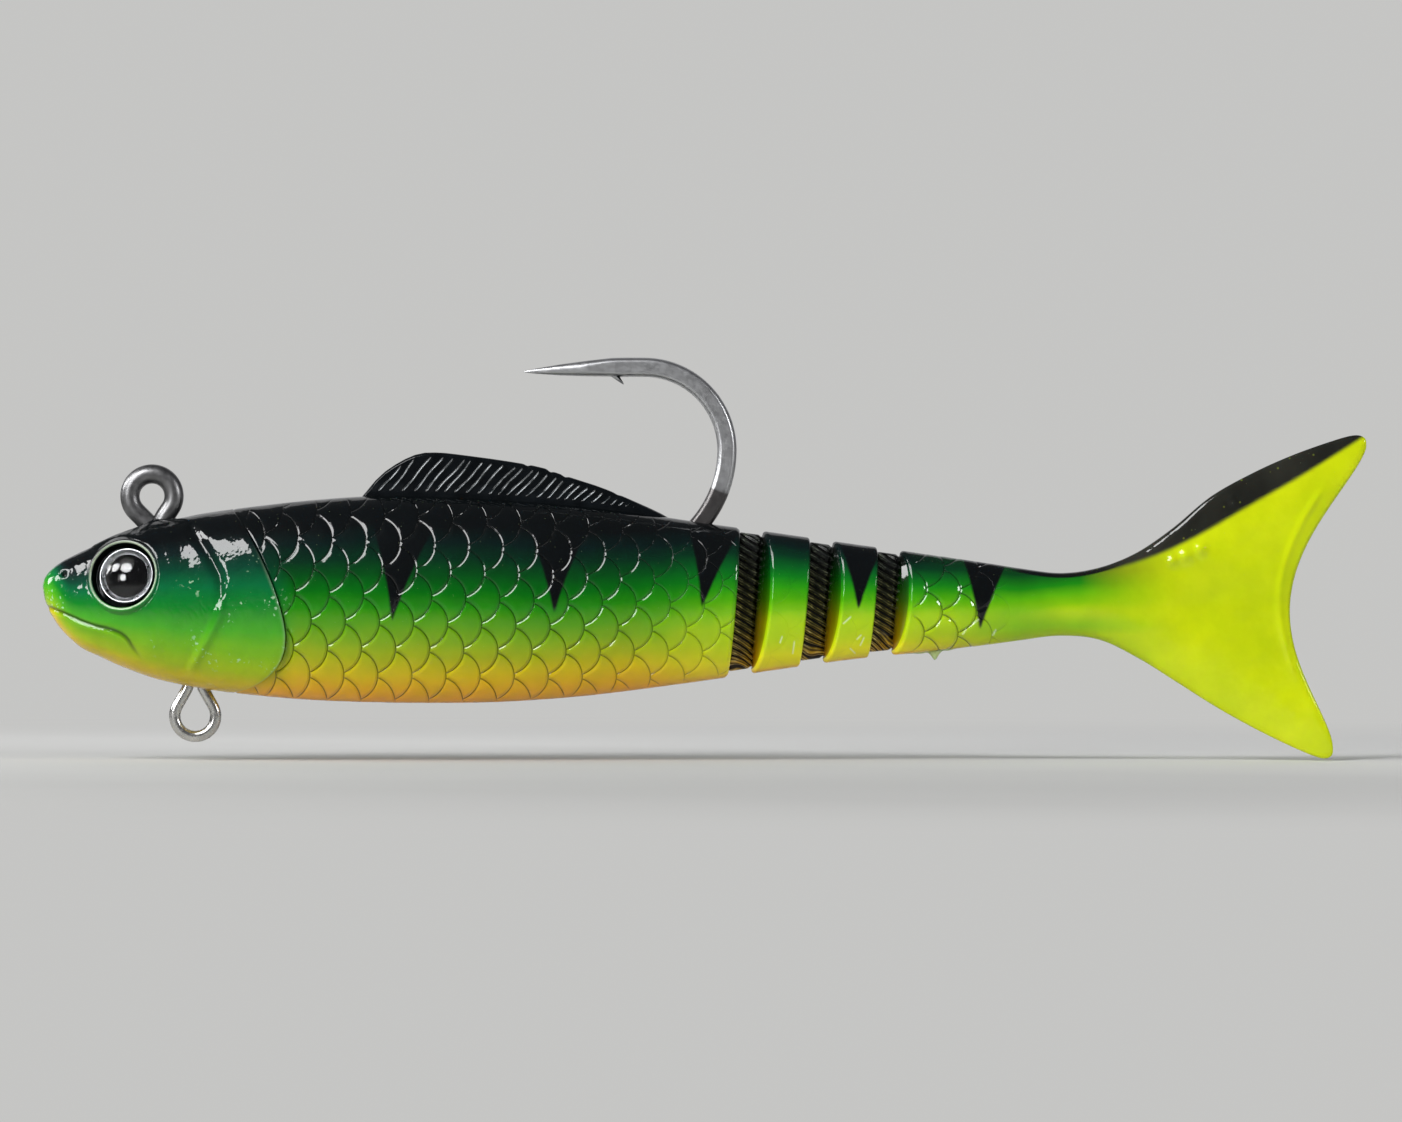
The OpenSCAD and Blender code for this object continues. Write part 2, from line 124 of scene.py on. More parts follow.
EYE_SEAT = np.array([-2.3, -3.95, -8.8])
EYE_TURN = radians(13)
EYE_LIFT = radians(12)
EYE_R = 3.0


def mix(a, b, t):
    return a * (1 - t) + b * t


def smooth(t):
    t = np.clip(t, 0, 1)
    return t * t * (3 - 2 * t)


def ramp(x, low, high):
    """0 below low, 1 above high, smooth between."""
    return smooth((x - low) / (high - low))


def bell(x, width):
    return np.exp(-((x / width) ** 2))


def curve(x, column):
    """The smooth curve through one column of OUTLINE, with the CAD model's own slopes."""
    xs, ys = OUTLINE[:, 0], OUTLINE[:, column]
    before = np.concatenate([[0], np.arange(len(xs) - 1)])
    after = np.concatenate([np.arange(1, len(xs)), [len(xs) - 1]])
    slope = (ys[after] - ys[before]) / (xs[after] - xs[before])
    i = np.clip(np.searchsorted(xs, x, side="right") - 1, 0, len(xs) - 2)
    width = xs[i + 1] - xs[i]
    t = (x - xs[i]) / width
    return (
        ys[i] * (1 + 2 * t) * (1 - t) ** 2 + slope[i] * width * t * (1 - t) ** 2
        + ys[i + 1] * t ** 2 * (3 - 2 * t) - slope[i + 1] * width * t ** 2 * (1 - t)
    )


def fin_row(u):
    """The six values of the smooth curve through FIN_ROWS, whose rows count 0, 1, 2 and so on."""
    last = len(FIN_ROWS) - 1
    i = min(int(u), last - 1)
    t = u - i
    a, b, c, d = FIN_ROWS[[max(i - 1, 0), i, i + 1, min(i + 2, last)]]
    return b + 0.5 * t * (c - a + t * (2 * a - 5 * b + 4 * c - d + t * (3 * (b - c) + d - a)))


# ---- Meshes ----

def grid_faces(rows, columns, close_rows):
    """Quads over a grid whose rows are rings. With close_rows, the last row is joined to the first."""
    r = np.arange(rows if close_rows else rows - 1)
    r, c = np.meshgrid(r, np.arange(columns), indexing="ij")
    r2, c2 = (r + 1) % rows, (c + 1) % columns
    quads = np.stack([r * columns + c, r * columns + c2, r2 * columns + c2, r2 * columns + c], -1)
    return quads.reshape(-1, 4)


def make_object(name, grid, masks, close_rows=False):
    """A smooth-shaded object over a grid of points in millimetres, with float masks on its points."""
    points = np.asarray(grid, float).reshape(-1, 3) * MM
    quads = grid_faces(*grid.shape[:2], close_rows)
    corner = points[quads]
    facing = np.cross(corner[:, 2] - corner[:, 0], corner[:, 3] - corner[:, 1])
    if np.sum((corner.mean(1) - points.mean(0)) * facing) < 0:
        quads = quads[:, ::-1]
    mesh = bpy.data.meshes.new(name)
    mesh.vertices.add(len(points))
    mesh.vertices.foreach_set("co", points.ravel())
    mesh.loops.add(quads.size)
    mesh.loops.foreach_set("vertex_index", quads.ravel())
    mesh.polygons.add(len(quads))
    mesh.polygons.foreach_set("loop_start", np.arange(0, quads.size, 4))
    mesh.polygons.foreach_set("loop_total", np.full(len(quads), 4))
    mesh.polygons.foreach_set("use_smooth", np.ones(len(quads), bool))
    for key, values in masks.items():
        attribute = mesh.attributes.new(key, "FLOAT", "POINT")
        attribute.data.foreach_set("value", np.asarray(values, np.float32).ravel())
    mesh.validate()
    mesh.update()
    obj = bpy.data.objects.new(name, mesh)
    bpy.context.scene.collection.objects.link(obj)
    return obj


def fill_end(obj, row, count):
    """Closes one ring of an object's points with strips from one side to the other."""
    bm = bmesh.new()
    bm.from_mesh(obj.data)
    bm.verts.ensure_lookup_table()
    ring = [bm.verts[row * count + i] for i in range(count)]
    for i in range(count // 2):
        corners = [ring[i], ring[i + 1], ring[count - i - 1], ring[(count - i) % count]]
        bm.faces.new(list(dict.fromkeys(corners))).smooth = True
    bmesh.ops.recalc_face_normals(bm, faces=bm.faces)
    bm.to_mesh(obj.data)
    bm.free()


def join(objects):
    """Joins objects into the first one."""
    bm = bmesh.new()
    for obj in objects:
        bm.from_mesh(obj.data)
    bm.to_mesh(objects[0].data)
    bm.free()
    for obj in objects[1:]:
        bpy.data.objects.remove(obj)
    return objects[0]


def around(values, count):
    """One value for each ring, repeated round it."""
    return np.repeat(np.asarray(values, float)[:, None], count, 1)


def with_rings(masks, before, after):
    """Masks with the first ring's values repeated before it and the last ring's after it."""
    return {key: np.pad(values, ((before, after), (0, 0)), mode="edge") for key, values in masks.items()}


def both_sides(x, half, z):
    """A closed shell from a sheet in the side view: its left face, and its right face mirrored in the row."""
    left = np.stack([x, -half, z], -1)
    right = np.stack([x, half, z], -1)[:, ::-1]
    return left, right


# ---- The body's skin ----

# The scales lie in rows: circles of one radius, each over the front of the next one behind it.
SCALE_PITCH = 3.68
SCALE_ROW = 2.92
SCALE_R = 2.8
SCALE_FIRST = (0.25, 1.9)
SCALE_DEPTH = 0.045
FAR = 1e6


def ring_angles(count):
    """Angles round a ring. On the body they start at the back and go down the right side to the belly."""
    return np.linspace(0, 2 * pi, count, endpoint=False)


def power_sine(a, power):
    """The sine of an angle, raised to a power with its sign kept."""
    return np.sign(np.sin(a)) * np.abs(np.sin(a)) ** power


def height_at(x, a, inset=0.0):
    """Height at ring angles a between the belly and the back, or between their inset lines."""
    return mix(curve(x, 2) + inset, curve(x, 1) - inset, (1 + np.cos(a)) / 2)


def skin(x, a):
    """Skin points at stations x and ring angles a, with no detail."""
    return np.stack([x, curve(x, 3) * power_sine(a, FULLNESS), height_at(x, a)], -1)


def scale_place(x, z):
    """Where a point of the side view lies among the scales: along their rows, and down across them."""
    down = -z - (0.0715 + 0.0033 * z) * (x - 20)
    return x + 0.04 * (down - 10) - SCALE_FIRST[0], down - SCALE_FIRST[1]


def scale_field(x, z):
    """Each point's distance inside its own scale's rear edge, and its distance behind a scale ahead."""
    u, v = scale_place(x, z)
    rows = []
    for shift in (-1, 0, 1):
        row = np.round(v / SCALE_ROW) + shift
        dv = v - row * SCALE_ROW
        reach = np.sqrt(np.maximum(SCALE_R ** 2 - dv ** 2, 0))
        offset = (row % 2) * SCALE_PITCH / 2
        centre = offset + SCALE_PITCH * np.ceil((u - reach - offset) / SCALE_PITCH)
        inside = (np.abs(dv) < SCALE_R) & (centre <= u + reach)
        rows.append((centre, np.where(inside, centre, FAR), dv))
    first = np.minimum(np.minimum(rows[0][1], rows[1][1]), rows[2][1])
    own, ahead = np.zeros(u.shape), np.full(u.shape, FAR)
    for centre, held, dv in rows:
        own = np.where(held == first, SCALE_R - np.hypot(u - centre, dv), own)
        before = centre - SCALE_PITCH
        gap = np.hypot(u - before, dv) - SCALE_R
        ahead = np.where(before < first, np.minimum(ahead, gap), ahead)
    return own, ahead


def scale_relief(x, z):
    """Depth of the scales in millimetres: each sinks towards its rear edge, with a wall up to the next."""
    own, ahead = scale_field(x, z)
    return -SCALE_DEPTH * np.maximum(1 - smooth(own / 1.3), 1 - smooth(ahead / 0.5))


# Black bars of the back: tip x, tip z, lean, widening.
BARS = (
    (26.3, -13.9, 0.12, 0.44),
    (43.8, -13.0, 0.05, 0.49),
    (59.7, -12.4, 0.17, 0.48),
    (76.7, -12.6, 0.06, 0.50),
    (89.9, -14.8, 0.09, 0.48),
)


def bar_mask(x, z):
    mask = np.zeros(x.shape)
    for tip_x, tip_z, lean, widening in BARS:
        up = z - tip_z
        middle = tip_x + up * lean
        half = 0.47 * widening * up * (1 + 0.05 * np.maximum(up, 0))
        mask = np.maximum(mask, ramp(half - np.abs(x - middle), -0.35, 0.4) * ramp(up, -0.1, 0.8))
    return mask


def tone_of(x, z):
    """Level of a point between belly (0) and back (1), shifted as the paint is along the body."""
    at = np.clip(x, -8.6, 98.7)
    back, belly = curve(at, 1), curve(at, 2)
    level = (z - belly) / (back - belly)
    up = 0.14 * ramp(x, 45, 68) + 0.05 * ramp(x, 80, 93) + 0.15 * ramp(x, 93, 101)
    tone = level - up * ramp(level, 0.1, 0.45)
    tone = tone + 0.04 * ramp(x, 50, 66) * ramp(0.4 - level, 0, 0.3) * ramp(level, 0.0, 0.05)
    return tone - 0.3 * ramp(-x, 8.4, 11.4)


def paint_masks(points, **extra):
    """The paint's masks at points in millimetres: where each lies in the pattern, and extra values."""
    x, z = points[..., 0], points[..., 2]
    along, down = scale_place(x, z)
    masks = {"tone": tone_of(x, z), "along": x / 120, "bars": bar_mask(x, z), "u": along, "v": down}
    masks.update({key: np.array(np.broadcast_to(values, x.shape)) for key, values in extra.items()})
    return masks


def outward(points):
    """Unit normals of a closed-ring grid of points, pointing out of the body."""
    along = np.gradient(points, axis=0)
    rolled = np.roll(points, -1, 1) - np.roll(points, 1, 1)
    normal = np.cross(along, rolled)
    length = np.linalg.norm(normal, axis=-1, keepdims=True)
    return normal / np.maximum(length, 1e-9)


def lifted(points, height):
    """Points moved out of the body by a height at each."""
    return points + outward(points) * height[..., None]


def gill_bow_at(level):
    """How far the gill cover's edge bows back at a level, from the belly (-1) to the back (1)."""
    upper = 1 - (np.clip(level - GILL_PEAK, 0, None) / (1 - GILL_PEAK)) ** 1.5
    lower = 1 - (np.clip(GILL_PEAK - level, 0, None) / (1 + GILL_PEAK)) ** 2.5
    return np.where(level >= GILL_PEAK, upper, lower)


def bow_share(station):
    """How much of the gill cover's bow a ring has: all of it at the cover's edge."""
    front = np.clip((station - NOSE_X) / (GILL_X - NOSE_X), 0, 1) ** 2
    rear = np.clip(1 - (station - GILL_X) / 16, 0, 1) ** 2
    return np.where(station <= GILL_X, front, rear)


def lean_shift(z):
    return SLOT_LEAN * (z - SLOT_Z)


def path_distance(x, z, path):
    """Distance from points in the side view to a line through the path's points, and the share along it."""
    best = np.full(x.shape, np.inf)
    share = np.zeros(x.shape)
    lengths = [dist(p, q) for p, q in zip(path, path[1:])]
    total, run = sum(lengths), 0.0
    for (x0, z0), (x1, z1), length in zip(path, path[1:], lengths):
        t = np.clip(((x - x0) * (x1 - x0) + (z - z0) * (z1 - z0)) / length ** 2, 0, 1)
        d = np.hypot(x - mix(x0, x1, t), z - mix(z0, z1, t))
        share = np.where(d < best, (run + t * length) / total, share)
        best = np.minimum(best, d)
        run += length
    return best, share


def rounded(path, times=2):
    """A path with its corners cut, for smooth lines."""
    path = [tuple(p) for p in path]
    for _ in range(times):
        cut = [path[0]]
        for p, q in zip(path, path[1:]):
            cut.append(tuple(mix(np.array(p), np.array(q), 0.25)))
            cut.append(tuple(mix(np.array(p), np.array(q), 0.75)))
        path = cut + [path[-1]]
    return path


def groove(x, z, path, width, depth):
    """A smooth line along a path, as deep as depth in its middle and fading at both ends."""
    distance, share = path_distance(x, z, rounded(path))
    fade = ramp(share, 0, 0.08) * ramp(1 - share, 0, 0.25)
    return depth * fade * bell(distance, width)


def spot(x, z, centre, width):
    """A round mound in the side view, 1 at its centre."""
    return bell(np.hypot(x - centre[0], z - centre[1]), width)


def scratch_field(x, z):
    """1 on the fine scratches in the gill cover's lower part, which lie at random."""
    field = np.zeros(x.shape)
    for _ in range(22):
        cx, cz = RNG.uniform(4.5, 13.5), RNG.uniform(-19, -12)
        way, length = RNG.uniform(-1.3, -0.5), RNG.uniform(0.5, 1.5)
        dx, dz = cos(way) * length / 2, sin(way) * length / 2
        distance, _ = path_distance(x, z, [(cx - dx, cz - dz), (cx + dx, cz + dz)])
        field = np.maximum(field, bell(distance, 0.08))
    return field


# ---- Trunk ----

TRUNK_SIDES = 288
SOCKET_SHIFT = 0.32

# Lines on the head, in the side view.
MOUTH = [
    (-11.7, -11.9), (-9.2, -12.8), (-6.6, -14.0), (-3.7, -14.6), (-2.4, -15.4), (-1.7, -16.7), (-0.4, -18.3),
]
CREASE = [(4.0, -2.9), (5.6, -5.0), (7.4, -8.0), (8.1, -10.1), (7.7, -12.9)]
RIDGE = [(8.4, -9.0), (7.9, -12.7), (6.6, -15.2), (4.6, -18.6), (4.0, -20.4)]
BROW = [(-6.6, -5.9), (-4.6, -5.0), (-2.2, -4.7), (0.2, -5.4), (1.3, -7.2)]
LOWER_LIP = [(x, z - 0.45) for x, z in MOUTH[:4]]
NOSTRIL = (-9.4, -8.45)


def eye_axes(side):
    """Seat, right, up and outward axes of an eye: side is -1 on the left and 1 on the right."""
    seat = EYE_SEAT * np.array([1, -side, 1])
    level = cos(EYE_LIFT)
    out = np.array([-sin(EYE_TURN) * level, side * cos(EYE_TURN) * level, sin(EYE_LIFT)])
    right = np.cross([0, 0, 1], out)
    right /= np.linalg.norm(right)
    return seat, right, np.cross(out, right), out


def socket_centre(side):
    """The socket sits a little ahead of the eye in it."""
    seat, right, _, _ = eye_axes(side)
    return seat + SOCKET_SHIFT * side * right


def head_detail(points):
    """Lift of the head's skin, and the painted shade in its mouth, crease and nostril, at every point."""
    x, y, z = np.moveaxis(points, -1, 0)
    side = ramp(np.abs(y), 0.4, 1.6)
    mouth = groove(x, z, MOUTH, 0.2, 0.24)
    crease = groove(x, z, CREASE, 0.6, 0.36) * side
    swell = 0.4 * ramp(x, 4.6, 0.2) * ramp(x, -9, -1) * ramp(z, -11, -7) * ramp(-z, 1, 3)
    lift = 0.25 * groove(x, z, LOWER_LIP, 0.4, 0.2) - mouth
    lift += groove(x, z, RIDGE, 0.5, 0.24) - crease + swell * side
    lift += 0.15 * bell(np.hypot(x - 3.2, (z + 12.0) * 0.7), 2.6) + groove(x, z, BROW, 0.5, 0.16) * side
    lift -= 0.45 * spot(x, z, NOSTRIL, 0.26) * side
    # The mouth, crease and nostril are painted dark as their shade.
    ink = 3.0 * mouth + 1.1 * crease + 1.2 * spot(x, z, NOSTRIL, 0.34) * side
    return lift, np.clip(ink, 0, 1)


def sink_eye_pits(points):
    """Presses the skin under each eye down, so that the eye's socket piece shows in its place."""
    for side in (-1, 1):
        _, right, up, out = eye_axes(side)
        local = points - socket_centre(side)
        height = local @ out
        r = np.hypot(local @ right, local @ up)
        near = (height > -2.5) & (points[..., 1] * side > 0)
        share = ramp(r, 4.05, 3.75) * near
        points = points + ((np.minimum(height, -0.45) - height) * share)[..., None] * out
    return points


def bowed_skin(stations):
    """Stations, ring angles and skin points of rings bowed like the gill cover and leaning to the slot."""
    st, a = np.meshgrid(stations, ring_angles(TRUNK_SIDES), indexing="ij")
    x = st + GILL_BOW * bow_share(st) * gill_bow_at(np.cos(a))
    x = x + ramp(st, 46, TRUNK_END) * (lean_shift(height_at(x, a)) + 0.3 * np.abs(np.sin(a)))
    return st, a, skin(x, a)


def make_head():
    """The head and gill cover, down to the step behind the cover."""
    nose = NOSE_X + 0.03 + 2.5 * np.linspace(0, 1, 36) ** 2
    st, a, base = bowed_skin(np.concatenate([nose, np.linspace(-9.25, GILL_X, 215)]))
    x, z = base[..., 0], base[..., 2]
    sides = ramp(np.abs(np.sin(a)), 0.1, 0.75)
    below = ramp(-z, 1.5, 6.5)
    lift, ink = head_detail(base)
    lift = lift + mix(0.22, 0.5, below) * ramp(st, 2, GILL_X) * sides - 0.05 * scratch_field(x, z)
    lift = lift + 0.05 * bell(st - GILL_X + 0.5, 0.5) * sides * below
    points = sink_eye_pits(lifted(base, lift))
    step = [
        points[-1] + outward(base)[-1] * drop + [shift, 0, 0]
        for drop, shift in ((-0.06, 0.04), (-0.2, 0.05), (-0.9, 0))
    ]
    # A pale line painted along the gill cover's edge as its highlight.
    edge = 0.5 * bell(st - GILL_X, 0.12) * sides * ramp(-z, 5, 10)
    masks = with_rings(paint_masks(base, ink=ink, head=1, lip=edge), 0, len(step))
    # The step under the gill cover is painted dark as its shadow.
    masks["ink"][-2:] = 1
    obj = make_object("trunk_head", np.concatenate([points, step]), masks)
    fill_end(obj, 0, TRUNK_SIDES)
    return obj


def make_flank():
    """The scaled body from the gill cover's step to the first slot, with the pocket for the sleeve."""
    st, _, base = bowed_skin(np.concatenate([np.linspace(8.1, 8.7, 4), np.linspace(8.8, TRUNK_END, 326)]))
    x, y, z = np.moveaxis(base, -1, 0)
    behind = np.maximum(st - GILL_X, 0)
    # The scales thin out at the gill cover and the slot, near the back and belly, and towards the rear.
    fade = ramp(st, GILL_X + 0.5, GILL_X + 1.2) * ramp(x, TRUNK_END + 1.2, TRUNK_END - 0.6)
    fade = fade * ramp(np.abs(y), 1.0, 2.8) * (1 - 0.45 * ramp(x, 42, 62))
    lift = scale_relief(x, z) * fade * ramp(np.abs(y), 1.6, 3.6)
    lift = lift - mix(0.06, 0.22, ramp(-z, 1.5, 6.5)) * bell(behind, 0.3)
    points = lifted(base, lift - 0.18 * ramp(st, TRUNK_END - 0.35, TRUNK_END))
    # Painted shade in the groove behind the gill cover.
    ink = bell(behind, 0.17) * ramp(z, -20.5, -17) * ramp(np.abs(y), 0.5, 2.5)
    angles = ring_angles(TRUNK_SIDES)
    face = [mix(points[-1], pocket_ring(TRUNK_END, angles), t) for t in (0.03, 0.3, 0.6, 1)]
    face.append(pocket_ring(SLEEVE_ENDS[0] + 0.6, angles))
    near_head = 0.6 * ramp(st, GILL_X + 5, GILL_X)
    masks = with_rings(paint_masks(base, ink=ink, head=near_head, scale=fade), 0, len(face))
    # The face down into the pocket is painted darker as its shade.
    masks["chamfer_shade"] = around([0] * len(points) + [0, 1, 1, 1, 1], TRUNK_SIDES)
    return make_object("trunk_flank", np.concatenate([points, face]), masks)


# ---- Segments and tail ----

SEGMENT_SIDES = 400
TAIL_SIDES = 200
FACE_SHARES = (0, 0.35, 0.7, 0.93)
# Painted shade on the face from a pocket out to the skin, darkest next to the sleeve.
FACE_CHAMFER_SHADE = [1, 1, 0.9, 0.7]

# Short scratches in the segments and the tail's front: the ends of each, in the side view.
SCRATCHES = (
    ((68.2, -16.0), (68.5, -15.1)),
    ((69.6, -17.2), (69.8, -15.6)),
    ((75.0, -13.9), (76.0, -13.0)),
    ((76.5, -15.6), (77.1, -15.0)),
    ((76.9, -16.3), (77.4, -15.2)),
    ((75.8, -16.5), (76.5, -17.2)),
    ((88.0, -15.1), (88.5, -14.3)),
    ((89.1, -13.9), (89.9, -13.3)),
    ((91.3, -15.2), (91.7, -14.4)),
)
# The lower edge of the tail fin's dark upper margin, and the line of its bevelled rear rim.
MARGIN = [
    (96.5, -8.9), (103, -8.3), (108.5, -6.8), (114, -4.2),
    (119.3, -1.0), (124.8, 2.1), (130.2, 5.5), (133, 7.3),
]
TAIL_RIM = [
    (127.5, 1.2), (125.2, -2.2), (123.4, -6.2), (122.4, -10), (122.6, -14), (123.6, -17.8), (124.8, -20.8),
]
# Mounds under the margin, each with its width, and one round bubble and a wide hollow beside them.
TAIL_MOUNDS = (((110.9, -7.0), 0.6), ((112.3, -6.5), 0.75), ((113.9, -5.8), 0.65))
TAIL_BUBBLE = (117.3, -0.4)
TAIL_HOLLOW = (114.5, -11.5)


def sleeve_ring(x, angles, inset, share):
    """A ring of the sleeve or a pocket, inset from back and belly and with a share of the width."""
    x = np.full(angles.shape, float(x))
    z = height_at(x, angles, inset)
    return np.stack([x + lean_shift(z), curve(x, 3) * share * power_sine(angles, 0.9), z], -1)


def pocket_ring(x, angles):
    return sleeve_ring(x, angles, POCKET_INSET, POCKET_SHARE)


def slot_ring(x, angles, flare, inset=0.0, lean=1.0):
    """A ring along a slot's wall, leaning and bowed back by flare, and inset under the skin."""
    at = np.full(angles.shape, float(x))
    at = at + lean * lean_shift(height_at(at, angles)) + flare * np.abs(np.sin(angles))
    points = skin(at, angles)
    middle = (curve(at, 1) + curve(at, 2)) / 2
    half = (curve(at, 1) - curve(at, 2)) / 2
    points[:, 1] *= 1 - inset / np.maximum(curve(at, 3), 1)
    points[:, 2] = middle + (points[:, 2] - middle) * (1 - inset / half)
    return points


def corner_inset(end, corner):
    """How far a rounded corner of this radius lies under the skin, at this distance from its end."""
    return corner - sqrt(max(corner ** 2 - (corner - min(end, corner)) ** 2, 0))


def front_face(x, angles, first):
    """Rings from a moulding's pocket out to the first ring of its skin."""
    return [mix(pocket_ring(x, angles), first, t) for t in FACE_SHARES]


def scratched(x, z):
    """1 on the scratches, at points in the side view."""
    return np.max([groove(x, z, path, 0.07, 1.0) for path in SCRATCHES], axis=0)


def make_segment(name, front, rear):
    """A loose section of the body, as a closed ring round its pocket."""
    angles = ring_angles(SEGMENT_SIDES)
    steps = np.linspace(0, 1, 74)
    rings = []
    for t in steps:
        inset = corner_inset(min(t, 1 - t) * (rear - front), 0.5 if t < 0.5 else 0.28)
        rings.append(slot_ring(mix(front, rear, t), angles, mix(SLOT_FLARE, 0.3, t), inset))
    grid = np.stack(rings)
    x, z = grid[..., 0], grid[..., 2]
    fade = around(0.08 * ramp(steps, 0.05, 0.3) * ramp(steps, 1, 0.8), SEGMENT_SIDES)
    # The scratches are painted pale: partly their own whitish colour, partly a painted glint.
    scratch = scratched(x, z)
    points = lifted(grid, scale_relief(x, z) * fade - 0.06 * scratch)
    before = front_face(front, angles, points[0])
    after = [mix(points[-1], pocket_ring(rear, angles), t) for t in (0.05, 0.5, 1)]
    masks = with_rings(paint_masks(grid, scale=fade, scratch=scratch), len(before), len(after))
    # The faces down into the pockets at both ends are painted darker as their shade.
    masks["chamfer_shade"] = around(FACE_CHAMFER_SHADE + [0] * len(points) + [0, 1, 1], SEGMENT_SIDES)
    return make_object(name, np.concatenate([before, points, after]), masks, close_rows=True)


def tail_fin_ring(u, angles):
    """A ring of the tail fin at a place u along FIN_ROWS. Its last half row closes the fin's rear edge."""
    level = np.cos(angles)
    edge = len(FIN_ROWS) - 1 - u
    close = sqrt(max(1 - ((0.5 - edge) / 0.503) ** 2, 0.0001)) if edge < 0.5 else 1.0
    upper_x, upper_z, lower_x, lower_z, fork, thick = fin_row(u)
    power = mix(FULLNESS, 0.35, float(smooth((u - 1) / 5)))
    x = mix(lower_x, upper_x, (1 + level) / 2) - fork * FORK_DEPTH * (1 - level ** 2) ** 1.5
    y = TAIL_FIN_HALF * thick * close * power_sine(angles, power)
    return np.stack([x, y, mix(lower_z, upper_z, (1 + level) / 2)], -1)


def margin_mask(x, z):
    """1 in the tail fin's dark upper margin."""
    path = np.array(rounded(MARGIN))
    line = np.interp(x, path[:, 0], path[:, 1])
    return ramp(z - line, -0.35, 0.35) * ramp(x, 97, 106)


def make_tail():
    """The rear section, stalk and forked fin in one skin, with the pocket for the sleeve."""
    angles = ring_angles(TAIL_SIDES)
    front = SLOTS[2][1]
    rings = []
    for x in np.concatenate([front + 0.5 * np.linspace(0, 1, 9) ** 2, np.linspace(81.4, 94.1, 96)]):
        share = (FIN_ROWS[0, 0] - x) / (FIN_ROWS[0, 0] - front)
        inset = corner_inset(x - front, 0.5)
        rings.append(slot_ring(x, angles, SLOT_FLARE * share, inset, lean=min(3 * share, 1)))
    last = len(FIN_ROWS) - 1
    for u in np.concatenate([np.linspace(0.02, 9.6, 190), last - np.linspace(1.18, 0, 40) ** 2]):
        rings.append(tail_fin_ring(u, angles))
    grid = np.stack(rings)
    x, z = grid[..., 0], grid[..., 2]
    fade = ramp(x, front + 1.6, front + 3) * ramp(x, 94, 88)
    lift = 0.6 * scale_relief(x, z) * fade + groove(x, z, TAIL_RIM, 0.42, 0.15)
    for centre, size in TAIL_MOUNDS:
        lift = lift + 0.55 * size * spot(x, z, centre, size)
    lift = lift + 0.16 * spot(x, z, TAIL_BUBBLE, 0.5) - 0.2 * spot(x, z, TAIL_HOLLOW, 3.0)
    points = lifted(grid, lift)
    face = [pocket_ring(SLEEVE_ENDS[3] - 1.5, angles)] + front_face(front, angles, points[0])
    masks = paint_masks(grid, scale=fade, scratch=scratched(x, z), margin=margin_mask(x, z))
    top_line = ramp(z - z[:, :1], -0.75, -0.35) * ramp(x, 91, 96) * ramp(x, 110, 105)
    masks["bars"] = np.maximum(masks["bars"], top_line)
    masks = with_rings(masks, len(face), 0)
    masks["chamfer_shade"] = around([1] + FACE_CHAMFER_SHADE + [0] * len(points), TAIL_SIDES)
    full = np.concatenate([face, points])
    obj = make_object("tail_moulding", full, masks)
    fill_end(obj, len(full) - 1, TAIL_SIDES)
    return obj


def make_flash():
    """A ragged skin of plastic that ran out under the tail moulding's front, with one drip."""
    steps, up = 90, 14
    drip_x = 85.1
    x = np.linspace(81.0, 88.2, steps)
    drip = 0.95 * bell(x - drip_x, 0.5) + 0.12 * bell(x - 83.6, 0.6) + 0.1 * bell(x - 86.6, 0.5)
    depth = (0.03 + drip) * ramp(x, 81.0, 82.5) * ramp(x, 88.2, 86.4)
    t = np.linspace(0, 1, up)
    z = (curve(x, 2) + 0.7)[:, None] - (0.7 + depth)[:, None] * t
    half = (0.42 - 0.22 * t) * np.sqrt(np.clip(1 - t ** 6, 0.02, 1))
    half = half + 0.25 * bell(x - drip_x, 0.5)[:, None] * bell(t - 0.75, 0.3)
    left, right = both_sides(around(x, up), half, z)
    grid = np.concatenate([right, left], 1)
    # The flash's own pale film colour.
    return make_object("tail_flash", grid, paint_masks(grid, tone=0.17, lip=1.6))


# ---- Mesh sleeves and dorsal fin ----

SLEEVE_SIDES = 560
RIB_PITCH = 0.8
RIB_SLOPE = radians(31)
FIN_TOP = [
    (22.8, -0.1), (24.8, 2.3), (27, 3.8), (29.1, 4.7), (31.3, 4.75), (33.5, 4.5), (38, 3.9),
    (42.2, 3.2), (44.3, 2.4), (46.5, 1.7), (48.7, 1.0), (50.9, 0.1), (55, -1.7), (56.2, -2.4),
]
# Nicks in the fin's edge: x and depth.
FIN_NICKS = ((40.8, 0.14), (43.3, 0.16), (44.9, 0.14), (50.6, 0.08))
RAY_COUNT = 31


